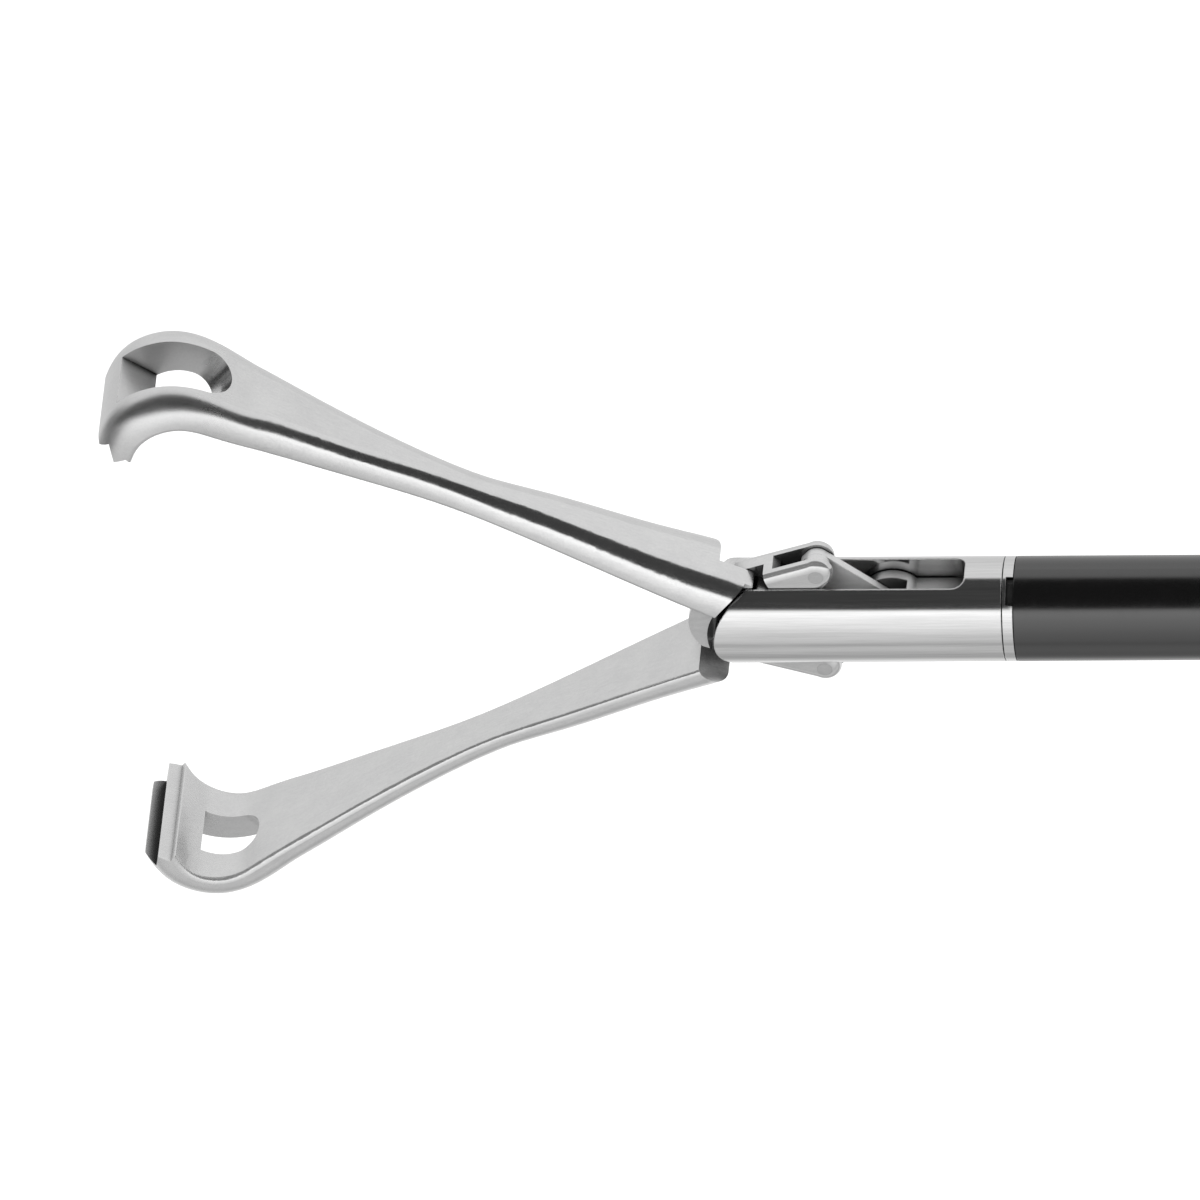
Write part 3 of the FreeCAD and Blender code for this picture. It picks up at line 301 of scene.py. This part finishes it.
def neutral(value: float) -> Colour:
    """Neutral colour of one value."""
    return (value, value, value)


def tinted(colour: Colour, factor: float, lift: float = 0.0) -> Colour:
    """Colour times a factor, plus a lift."""
    red, green, blue = (channel * factor + lift for channel in colour)
    return (red, green, blue)


@dataclass(frozen=True)
class Finish:
    """Base of every finish: a name and one material made from it.

    The name is none of the record's material slots, whose plain materials come with the frame.
    """

    name: str

    def material(self) -> bpy.types.Material:
        """Gives the finish's material, written at its first use.

        Returns:
            The same material each time.
        """
        found = bpy.data.materials.get(self.name)
        if found is not None:
            return found
        made = bpy.data.materials.new(self.name)
        made.use_nodes = True
        self.write(Desk(made.node_tree))
        return made

    def write(self, desk: Desk) -> None:
        """Writes the node tree; each finish has its own."""
        raise NotImplementedError


class Slant(Enum):
    """Which way a piece slants at rest, in degrees about Y."""

    LEVEL = 0.0
    UPPER_JAW = -22.98
    LOWER_JAW = 22.98


@dataclass(frozen=True)
class SatinSteel(Finish):
    """Fine satin stainless steel with lengthwise brushing and worn edges, lightened by a painted
    highlight.

    Zones are places in millimetres and scales are features per millimetre.
    """

    grey: float = 0.77
    dull: Colour = (0.93, 0.93, 0.935)
    bright: Colour = (1.07, 1.07, 1.065)
    metallic: float = 1.0
    roughness: float = 0.17
    slant: Slant = Slant.LEVEL
    brush_stretch: Point = (0.25, 4.0, 1.0)
    brush_scale: float = 3.2
    grain_scale: float = 9.0
    grain_depth: float = 0.0016 * MM
    cloud_scale: float = 0.8
    tone_range: Span = (0.25, 0.75)
    # Worn edges: real wear in roughness, with a painted highlight in their lighter colour
    edge_width: float = 0.09 * MM
    edge_highlight_colour: Colour = (0.92, 0.92, 0.915)
    edge_highlight_share: float = 0.55
    edge_gloss: float = 0.08
    softened: bool = False
    # Painted shade on the cut walls: share of colour left there, which way they face and where they lie
    shaded_wall_share: float = 1.0
    wall_facing: Span = (0.5, 0.8)
    wall_zone: Span = (0.3, 0.6)
    tip_roughness: float = 0.0
    tip_zone: Span = (32.0, 41.0)
    # Painted shade: colour darkened towards this dark grey in gaps and corners
    shade_reach: float = 0.9 * MM
    shade_depth: float = 0.88
    painted_shade_colour: Colour = (0.02, 0.02, 0.02)

    def _painted_wall_shade(self, desk: Desk) -> Signal:
        """Paints shade on the cut walls that face -Y behind the jaw's middle.

        Args:
            desk: Desk of the finish's material.

        Returns:
            Share of colour left, the shaded share on those walls and 1 elsewhere.
        """
        normal = desk.node("ShaderNodeTexCoord", output="Normal")
        facing = (desk.axis(normal, "Y") * -1.0).stepped(*self.wall_facing)
        beside = desk.axis(desk.place(), "Y").stepped(*self.wall_zone)
        return 1.0 - facing * beside * (1.0 - self.shaded_wall_share)

    def _gloss(self, desk: Desk, brushed: Signal, clouds: Signal, worn: Signal) -> Signal:
        """Works out a roughness, higher towards the jaws' blasted tips and lower on worn edges.

        Args:
            desk: Desk of the finish's material.
            brushed: Noise of the brushing.
            clouds: Noise of the faint clouds.
            worn: Mask of the worn edges.

        Returns:
            Roughness signal.
        """
        ahead = desk.axis(desk.place(), "X") * -1.0
        blasted = ahead.stepped(*self.tip_zone) * self.tip_roughness
        uneven = (brushed - 0.5) * 0.10 + (clouds - 0.5) * 0.06
        return self.roughness + blasted + uneven - worn * self.edge_gloss

    def write(self, desk: Desk) -> None:
        """Writes brushed grain, faint clouds, edge wear with a painted highlight, and painted shade in
        gaps and on cut walls.

        Args:
            desk: Desk of the finish's material.
        """
        brushed = desk.noise(desk.place(self.slant.value, self.brush_stretch), self.brush_scale, 3.0, 0.6)
        even = desk.place(self.slant.value)
        grain = desk.noise(even, self.grain_scale, 2.0, 0.6)
        clouds = desk.noise(even, self.cloud_scale, 2.0, 0.5)
        rounded = desk.rounded(self.edge_width)
        worn = desk.edge(rounded)
        tone = (brushed * 0.35 + grain * 0.35 + clouds * 0.3).stepped(*self.tone_range)
        base = desk.mix(tone, tinted(self.dull, self.grey), tinted(self.bright, self.grey))
        # Painted highlight: edges lighter in colour, while their lower roughness is the real wear
        polished = desk.mix(worn * self.edge_highlight_share, base, self.edge_highlight_colour)
        # Painted shade: base colour darkened in gaps and corners and on the cut walls
        unshaded_share = desk.painted_crevice_shade(self.shade_reach, self.shade_depth) * self._painted_wall_shade(desk)
        height = brushed * 0.6 + grain * 0.4
        desk.surface(
            {
                "Base Color": desk.mix(unshaded_share, self.painted_shade_colour, polished),
                "Metallic": self.metallic,
                "Roughness": self._gloss(desk, brushed, clouds, worn),
                "Normal": desk.bump(height, self.grain_depth, rounded if self.softened else None),
            }
        )


@dataclass(frozen=True)
class PolishedSteel(Finish):
    """Polished stainless steel with lengthwise streaks and, where it is turned, faint lathe rings."""

    grey: float = 0.80
    dull: float = 0.92
    bright: float = 1.06
    roughness: float = 0.13
    ring_stretch: Point = (1.0, 0.02, 0.02)
    ring_scale: float = 9.0
    ring_share: float = 0.25
    streak_stretch: Point = (0.03, 1.0, 1.0)
    streak_scale: float = 5.0
    mark_depth: float = 0.0007 * MM
    tone_range: Span = (0.3, 0.7)
    edge_width: float = 0.12 * MM
    # Painted shade: colour darkened towards this dark grey in gaps and corners
    shade_reach: float = 0.6 * MM
    shade_depth: float = 0.85
    painted_shade_colour: Colour = (0.02, 0.02, 0.02)

    def write(self, desk: Desk) -> None:
        """Writes rings across the axis and a few long polishing streaks.

        Args:
            desk: Desk of the finish's material.
        """
        rings = desk.noise(desk.place(stretch=self.ring_stretch), self.ring_scale, 2.0, 0.6)
        streaks = desk.noise(desk.place(stretch=self.streak_stretch), self.streak_scale, 4.0, 0.7)
        marks = rings * self.ring_share + streaks * (1.0 - self.ring_share)
        tone = marks.stepped(*self.tone_range)
        base = desk.mix(tone, neutral(self.grey * self.dull), neutral(self.grey * self.bright))
        # Painted shade: base colour darkened in gaps and corners
        unshaded_share = desk.painted_crevice_shade(self.shade_reach, self.shade_depth)
        rounded = desk.rounded(self.edge_width)
        desk.surface(
            {
                "Base Color": desk.mix(unshaded_share, self.painted_shade_colour, base),
                "Metallic": 1.0,
                "Roughness": self.roughness + (marks - 0.5) * 0.10 + desk.edge(rounded) * 0.03,
                "Normal": desk.bump(marks, self.mark_depth, rounded),
            }
        )


@dataclass(frozen=True)
class SmoothPlastic(Finish):
    """Extruded or turned plastic: even colour, soft gloss, faint lengthwise lines."""

    colour: Colour = (0.0006, 0.0006, 0.0007)
    roughness: float = 0.20
    index: float = 1.65
    specular: float = 1.0
    line_stretch: Point = (0.03, 1.0, 1.0)
    line_scale: float = 5.0
    line_depth: float = 0.0006 * MM
    scuff_scale: float = 1.3
    scuff_range: Span = (0.45, 0.8)

    def write(self, desk: Desk) -> None:
        """Writes extrusion lines and faint scuffs.

        Args:
            desk: Desk of the finish's material.
        """
        lines = desk.noise(desk.place(stretch=self.line_stretch), self.line_scale)
        scuffs = desk.noise(desk.place(), self.scuff_scale, 4.0, 0.65).stepped(*self.scuff_range)
        desk.surface(
            {
                "Base Color": desk.mix(scuffs, self.colour, tinted(self.colour, 1.25, 0.0005)),
                "Roughness": self.roughness + (lines - 0.5) * 0.04 + scuffs * 0.05,
                "IOR": self.index,
                "Specular IOR Level": self.specular,
                "Normal": desk.bump(lines, self.line_depth),
            }
        )


@dataclass(frozen=True)
class MouldedPlastic(Finish):
    """Injection-moulded plastic with a spark-eroded grain and rubbed edges."""

    colour: Colour = (0.022, 0.022, 0.024)
    roughness: float = 0.48
    pebble_scale: float = 4.2
    pebble_smoothness: float = 0.7
    grain_depth: float = 0.010 * MM
    cloud_scale: float = 0.09
    edge_width: float = 0.5 * MM
    worn_range: Span = (0.2, 0.9)

    def write(self, desk: Desk) -> None:
        """Writes pebbled grain, soft flow clouds and shinier handled edges.

        Args:
            desk: Desk of the finish's material.
        """
        where = desk.place()
        pebbles = desk.node(
            "ShaderNodeTexVoronoi",
            {"feature": "SMOOTH_F1"},
            {"Vector": where, "Scale": self.pebble_scale, "Smoothness": self.pebble_smoothness},
        )
        fine = desk.noise(where, self.pebble_scale * 3.0, 2.0, 0.6)
        clouds = desk.noise(where, self.cloud_scale, 3.0, 0.5)
        worn = desk.edge(desk.rounded(self.edge_width))
        handled = (clouds * 0.5 + worn * 0.5).stepped(*self.worn_range)
        desk.surface(
            {
                "Base Color": desk.mix(handled, self.colour, tinted(self.colour, 1.7, 0.006)),
                "Roughness": self.roughness + (clouds - 0.5) * 0.12 - worn * 0.10,
                "Specular IOR Level": 0.5,
                "Normal": desk.bump(pebbles * 0.7 + fine * 0.3, self.grain_depth),
            }
        )


@dataclass(frozen=True)
class Rubber(Finish):
    """Matt silicone rubber with a dusty bloom."""

    colour: Colour = (0.16, 0.17, 0.18)
    roughness: float = 0.62
    bloom_scale: float = 0.6
    bloom_range: Span = (0.3, 0.7)
    skin_scale: float = 9.0
    skin_depth: float = 0.004 * MM

    def write(self, desk: Desk) -> None:
        """Writes a soft bloom and a fine skin.

        Args:
            desk: Desk of the finish's material.
        """
        where = desk.place()
        bloom = desk.noise(where, self.bloom_scale, 4.0, 0.6)
        dusty = bloom.stepped(*self.bloom_range)
        skin = desk.noise(where, self.skin_scale, 2.0, 0.6)
        desk.surface(
            {
                "Base Color": desk.mix(dusty, self.colour, tinted(self.colour, 1.25)),
                "Roughness": self.roughness + (bloom - 0.5) * 0.15,
                "Specular IOR Level": 0.35,
                "Normal": desk.bump(skin, self.skin_depth),
            }
        )


def dress(frame: dict, finish: Finish, nodes: list[str]) -> None:
    """Gives the frame's pieces one finish.

    Args:
        finish: The finish to use.
        nodes: Names of the pieces.
    """
    for name in nodes:
        frame["nodes"][name].material_slots[0].material = finish.material()
        LOG.info("%s has the finish %s", name, finish.name)


def select(*pieces: bpy.types.Object) -> None:
    """Selects these pieces alone, the first of them active.

    Args:
        *pieces: At least one object.
    """
    bpy.ops.object.select_all(action="DESELECT")
    for piece in pieces:
        piece.select_set(True)
    bpy.context.view_layer.objects.active = pieces[0]


@dataclass
class WorkingEnd:
    """Jaws, toggle links, rod end and clevis."""

    frame: dict

    def build(self) -> None:
        """Dresses each piece of the working end."""
        self._dress_jaws()
        self._dress_toggle()
        clevis = PolishedSteel("polished_clevis", ring_share=0.0)
        dress(self.frame, clevis, ["jaw_clevis", "jaw_pivot_pin"])
        collar = PolishedSteel("polished_collar", ring_share=0.0, edge_width=0.04 * MM)
        dress(self.frame, collar, ["tube_collar"])
        pin = SatinSteel("satin_pin", shade_depth=0.3)
        dress(self.frame, pin, ["upper_jaw_tail_pin", "lower_jaw_tail_pin", "rod_end_pin"])

    def _dress_jaws(self) -> None:
        """Gives each jaw its own satin, brushed along the jaw."""
        upper = SatinSteel(
            "satin_upper_jaw",
            grey=0.82,
            slant=Slant.UPPER_JAW,
            shaded_wall_share=0.64,
            tip_roughness=0.18,
        )
        dress(self.frame, upper, ["upper_jaw"])
        lower = SatinSteel(
            "satin_lower_jaw",
            metallic=0.75,
            slant=Slant.LOWER_JAW,
            edge_width=0.06 * MM,
            edge_highlight_share=1.0,
            shaded_wall_share=0.85,
            tip_roughness=0.10,
            shade_reach=1.8 * MM,
        )
        dress(self.frame, lower, ["lower_jaw"])

    def _dress_toggle(self) -> None:
        """Gives the links and the rod's end their blasted steel with softened edges."""
        link = SatinSteel(
            "satin_link",
            grey=0.80,
            metallic=0.35,
            roughness=0.34,
            grain_depth=0.003 * MM,
            softened=True,
            shade_depth=0.5,
        )
        dress(self.frame, link, ["upper_jaw_link", "lower_jaw_link"])
        block = SatinSteel(
            "satin_rod_end",
            grey=0.66,
            metallic=0.7,
            roughness=0.30,
            grain_depth=0.004 * MM,
            softened=True,
            shade_reach=1.6 * MM,
            shade_depth=0.9,
        )
        dress(self.frame, block, ["rod_end"])


@dataclass
class InsulatedShaft:
    """Tube, liner, rod and the black insulation over them."""

    frame: dict
    liner_white: Colour = (0.75, 0.75, 0.73)

    def build(self) -> None:
        """Dresses the shaft's pieces."""
        dress(self.frame, SmoothPlastic("extruded_insulation"), ["insulation_sleeve"])
        tube = PolishedSteel("polished_tube", roughness=0.2)
        dress(self.frame, tube, ["outer_tube", "pull_rod", "rod_ball"])
        liner = SmoothPlastic("extruded_liner", colour=self.liner_white, roughness=0.35, index=1.5)
        dress(self.frame, liner, ["rod_liner"])


@dataclass
class HubAndKnob:
    """Hub with flush port and cap, seal and the fluted knob."""

    frame: dict
    knob_black: Colour = (0.018, 0.018, 0.020)

    def build(self) -> None:
        """Dresses the hub's pieces."""
        hub = PolishedSteel("polished_hub", roughness=0.2, ring_scale=5.0)
        dress(self.frame, hub, ["shaft_hub", "flush_port"])
        dress(self.frame, Rubber("silicone_rubber"), ["flush_cap", "rod_seal"])
        dress(self.frame, MouldedPlastic("black_knob", colour=self.knob_black), ["rotation_knob"])


@dataclass(frozen=True)
class HousingScrew:
    """Cap screws across the handle's halves, sunk into the near shell, with hexagon sockets.

    The screws of one kind are alike. places holds the X and Z of each, and crease is in degrees.
    """

    places: tuple[Span, ...]
    face_y: float
    far_y: float
    head_radius: float = 2.25 * MM
    head_height: float = 1.5 * MM
    rim: float = 0.3 * MM
    rim_steps: int = 4
    socket_radius: float = 1.15 * MM
    socket_depth: float = 0.8 * MM
    shank_radius: float = 1.25 * MM
    shank_start: float = 1.2 * MM
    crease: float = 35.0

    def _bar(self, sides: int, radius: float, near: float, far: float) -> bpy.types.Object:
        """Adds a straight bar across the handle at the first place.

        Args:
            sides: Number of sides, 6 for the socket.
            radius: Radius to the corners.
            near: Y of the end on the near side.
            far: Y of the end on the far side.

        Returns:
            The new object.
        """
        middle_x, middle_z = self.places[0]
        bpy.ops.object.select_all(action="DESELECT")
        bpy.ops.mesh.primitive_cylinder_add(
            vertices=sides,
            radius=radius,
            depth=far - near,
            location=(middle_x, (near + far) / 2, middle_z),
            rotation=(math.radians(90.0), 0.0, 0.0),
        )
        return bpy.context.object

    @staticmethod
    def _combine(body: bpy.types.Object, tool: bpy.types.Object, operation: str) -> None:
        """Joins or cuts a body with a tool and takes the tool away.

        Args:
            body: The piece that stays.
            tool: The piece that joins or cuts it.
            operation: UNION or DIFFERENCE.
        """
        step = body.modifiers.new(operation.lower(), "BOOLEAN")
        step.operation = operation
        step.object = tool
        select(body)
        bpy.ops.object.modifier_apply(modifier=step.name)
        bpy.data.objects.remove(tool)

    def _copy(self, screw: bpy.types.Object, place: Span) -> bpy.types.Object:
        """Copies the first screw, with a mesh of its own.

        Args:
            screw: The screw at the first place.
            place: X and Z of the copy.

        Returns:
            The copy.
        """
        select(screw)
        bpy.ops.object.duplicate()
        copy = bpy.context.object
        copy.location = (place[0] - self.places[0][0], 0.0, place[1] - self.places[0][1])
        bpy.ops.object.transform_apply(location=True, rotation=False, scale=False)
        return copy

    def build(self) -> list[bpy.types.Object]:
        """Models the screw, head outwards on the -Y side, and copies it to its other places.

        Returns:
            One object for each place.
        """
        head = self._bar(64, self.head_radius, self.face_y, self.face_y + self.head_height)
        bevel = head.modifiers.new("rim", "BEVEL")
        bevel.width = self.rim
        bevel.segments = self.rim_steps
        bevel.limit_method = "ANGLE"
        bpy.ops.object.modifier_apply(modifier=bevel.name)
        socket = self._bar(6, self.socket_radius, self.face_y - self.rim, self.face_y + self.socket_depth)
        self._combine(head, socket, "DIFFERENCE")
        shank = self._bar(32, self.shank_radius, self.face_y + self.shank_start, self.far_y)
        self._combine(head, shank, "UNION")
        select(head)
        bpy.ops.object.transform_apply(location=True, rotation=True, scale=True)
        bpy.ops.object.shade_smooth_by_angle(angle=math.radians(self.crease))
        return [head, *(self._copy(head, place) for place in self.places[1:])]


@dataclass
class RingHandle:
    """Two-shell ring handle with its lever, bearing, screws and connector."""

    frame: dict
    bearing_white: Colour = (0.75, 0.75, 0.73)
    collar_grey: Colour = (0.12, 0.12, 0.125)
    barrel_screws: HousingScrew = HousingScrew(
        places=((339.12 * MM, -10.5 * MM), (371.471 * MM, -5.5 * MM)),
        face_y=-6.7 * MM,
        far_y=5.1 * MM,
    )
    ring_screw: HousingScrew = HousingScrew(
        places=((334.971 * MM, -27.0 * MM),),
        face_y=-4.1 * MM,
        far_y=2.5 * MM,
    )

    def build(self) -> None:
        """Fits the handle's screws and dresses its pieces."""
        self._fit_screws()
        shell = MouldedPlastic("black_shell")
        dress(self.frame, shell, ["left_handle_shell", "right_handle_shell", "thumb_lever"])
        fastener = PolishedSteel("polished_fastener", roughness=0.22)
        dress(self.frame, fastener, ["lever_pivot_pin", "shank_clip", "connector_pin"])
        bearing = SmoothPlastic("white_bearing", colour=self.bearing_white, roughness=0.4, index=1.5)
        dress(self.frame, bearing, ["bearing_bush", "lever_washers"])
        collar = MouldedPlastic("grey_collar", colour=self.collar_grey, pebble_scale=6.0)
        dress(self.frame, collar, ["connector_insulator"])

    def _fit_screws(self) -> None:
        """Puts one object with the three socketed screws in place of the plain ones."""
        select(*self.barrel_screws.build(), *self.ring_screw.build())
        bpy.ops.object.join()
        screws = bpy.context.object
        screws.name = "socket_screws"
        steel = PolishedSteel("polished_screw", roughness=0.25, edge_width=0.05 * MM)
        screws.data.materials.append(steel.material())
        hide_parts("handle_screws")
        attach(screws, "handle")
        LOG.info("%s stands for handle_screws with the finish %s", screws.name, steel.name)


@dataclass(frozen=True)
class Eye:
    """The camera, turned and placed as in the photograph.

    The three turns are in degrees, and the sensor's width is in millimetres.
    """

    azimuth: float = 8.26
    elevation: float = 42.193
    roll: float = -5.899
    distance: float = 2.2
    frame_width: float = PHOTO_SIDE_PX / PHOTO_PX_PER_MM * MM
    pivot: Point = (-11.9 * MM, 0.0, 0.0)
    shift_right: float = -7.965 * MM
    shift_up: float = 0.468 * MM
    sensor: float = 36.0
    clip: Span = (0.1, 200.0)

    def build(self) -> None:
        """Adds the camera and makes it the scene's own."""
        azimuth = math.radians(self.azimuth)
        elevation = math.radians(self.elevation)
        outward = math.cos(elevation)
        back = Vector((math.sin(azimuth) * outward, -math.cos(azimuth) * outward, math.sin(elevation)))
        level = Vector((0.0, 0.0, 1.0)).cross(back).normalized()
        upright = back.cross(level)
        roll = math.radians(self.roll)
        right = level * math.cos(roll) + upright * math.sin(roll)
        up = back.cross(right)
        data = bpy.data.cameras.new("camera")
        data.sensor_width = self.sensor
        data.lens = self.sensor * self.distance / self.frame_width
        data.clip_start, data.clip_end = self.clip
        camera = bpy.data.objects.new("camera", data)
        bpy.context.scene.collection.objects.link(camera)
        middle = Vector(self.pivot) + right * self.shift_right + up * self.shift_up
        matrix = Matrix((right, up, back)).transposed().to_4x4()
        matrix.translation = middle + back * self.distance
        camera.matrix_world = matrix
        bpy.context.scene.camera = camera


@dataclass(frozen=True)
class Lamp:
    """Square soft lamp that lights the pieces but shows in no reflection. Its power is in watts."""

    name: str
    place: Point
    side: float
    power: float
    target: Point = (0.1, 0.0, 0.0)

    def build(self) -> None:
        """Adds the lamp and points it at its target."""
        data = bpy.data.lights.new(self.name, "AREA")
        data.shape = "SQUARE"
        data.size = self.side
        data.energy = self.power
        lamp = bpy.data.objects.new(self.name, data)
        bpy.context.scene.collection.objects.link(lamp)
        place = Vector(self.place)
        lamp.location = place
        lamp.rotation_mode = "QUATERNION"
        lamp.rotation_quaternion = (Vector(self.target) - place).to_track_quat("-Z", "Y")
        lamp.visible_glossy = False
        lamp.visible_camera = False


@dataclass(frozen=True)
class Studio:
    """Pale floor, soft lamps, white surroundings and a tent that the steel reflects."""

    white: Colour = (1.0, 1.0, 1.0)
    sky: float = 0.62
    floor_z: float = -0.150
    floor_side: float = 30.0
    floor_grey: float = 0.82
    floor_glow: float = 0.52
    tent_radius: float = 2.2
    tent_length: float = 9.0
    tent_sides: int = 96
    front_shade: Span = (1.8, 4.6)
    front_grey: float = 0.30
    lamps: tuple[Lamp, ...] = (
        Lamp("key", (-0.9, -1.1, 1.5), side=1.2, power=14.0),
        Lamp("fill", (1.4, 1.2, 1.0), side=1.6, power=7.0),
    )

    def build(self) -> None:
        """Adds every part of the studio."""
        self._world()
        self._floor()
        self._tent()
        for lamp in self.lamps:
            lamp.build()

    def _world(self) -> None:
        """White where it is seen or reflected, a plain soft light elsewhere."""
        world = bpy.data.worlds.new("studio")
        bpy.context.scene.world = world
        world.use_nodes = True
        desk = Desk(world.node_tree)
        strength = self._seen(desk) * (1.0 - self.sky) + self.sky
        shader = desk.node("ShaderNodeBackground", {}, {"Color": (*self.white, 1.0), "Strength": strength})
        desk.end("ShaderNodeOutputWorld", shader)

    @staticmethod
    def _seen(desk: Desk) -> Signal:
        """Tells rays from the camera, a mirror or glass from the rest.

        Args:
            desk: Desk of the material or world.

        Returns:
            1 for those rays, 0 for others.
        """
        camera = desk.node("ShaderNodeLightPath", output="Is Camera Ray")
        glossy = desk.node("ShaderNodeLightPath", output="Is Glossy Ray")
        clear = desk.node("ShaderNodeLightPath", output="Is Transmission Ray")
        return (camera + glossy + clear).clamped()

    def _floor(self) -> None:
        """Large pale floor that keeps a shadow but looks white."""
        bpy.ops.object.select_all(action="DESELECT")
        bpy.ops.mesh.primitive_plane_add(size=self.floor_side, location=(0.0, 0.0, self.floor_z))
        floor = bpy.context.object
        floor.name = "floor"
        material = bpy.data.materials.new("pale_floor")
        material.use_nodes = True
        desk = Desk(material.node_tree)
        pale = desk.node("ShaderNodeBsdfDiffuse", {}, {"Color": (*neutral(self.floor_grey), 1.0)})
        strength = self._seen(desk) * self.floor_glow
        glow = desk.node("ShaderNodeEmission", {}, {"Color": (*self.white, 1.0), "Strength": strength})
        desk.end("ShaderNodeOutputMaterial", desk.node("ShaderNodeAddShader", {}, {0: pale, 1: glow}))
        floor.data.materials.append(material)
        floor.visible_glossy = False

    def _tent(self) -> None:
        """Round tent along X with a dark strip overhead, seen only in reflections."""
        bpy.ops.object.select_all(action="DESELECT")
        bpy.ops.mesh.primitive_cylinder_add(
            vertices=self.tent_sides,
            radius=self.tent_radius,
            depth=self.tent_length,
            end_fill_type="NGON",
            rotation=(0.0, math.radians(90.0), 0.0),
        )
        tent = bpy.context.object
        tent.name = "tent"
        bpy.ops.object.transform_apply(location=True, rotation=True, scale=True)
        material = bpy.data.materials.new("tent")
        material.use_nodes = True
        self._write_tent(Desk(material.node_tree))
        tent.data.materials.append(material)
        tent.visible_camera = False
        tent.visible_diffuse = False
        tent.visible_transmission = False
        tent.visible_shadow = False
        tent.visible_volume_scatter = False

    def _write_tent(self, desk: Desk) -> None:
        """Writes the tent's greys round its axis and its darker far front.

        Args:
            desk: Desk of the tent's material.
        """
        where = desk.node("ShaderNodeTexCoord", output="Object")
        turn = {0: desk.axis(where, "Z"), 1: desk.axis(where, "Y") * -1.0}
        share = desk.node("ShaderNodeMath", {"operation": "ARCTAN2"}, turn) * (0.5 / math.pi) + 0.5
        stops = [(degrees / 360.0 + 0.5, value) for degrees, value in TENT_GREYS]
        ramp = desk.node("ShaderNodeValToRGB", {"stops": stops}, {"Fac": share})
        ahead = (desk.axis(where, "X") * -1.0).stepped(*self.front_shade)
        strength = 1.0 - ahead * (1.0 - self.front_grey)
        glow = desk.node("ShaderNodeEmission", {}, {"Color": ramp, "Strength": strength})
        desk.end("ShaderNodeOutputMaterial", glow)


def main() -> None:
    """Dresses the frame, fits the screws and sets up the studio."""
    logging.basicConfig(level=logging.INFO, format="%(message)s")
    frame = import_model()
    for part in (WorkingEnd(frame), InsulatedShaft(frame), HubAndKnob(frame), RingHandle(frame)):
        part.build()
    Eye().build()
    Studio().build()
    bpy.context.scene.view_settings.view_transform = "Standard"
    bpy.context.view_layer.update()


if __name__ == "__main__":
    main()
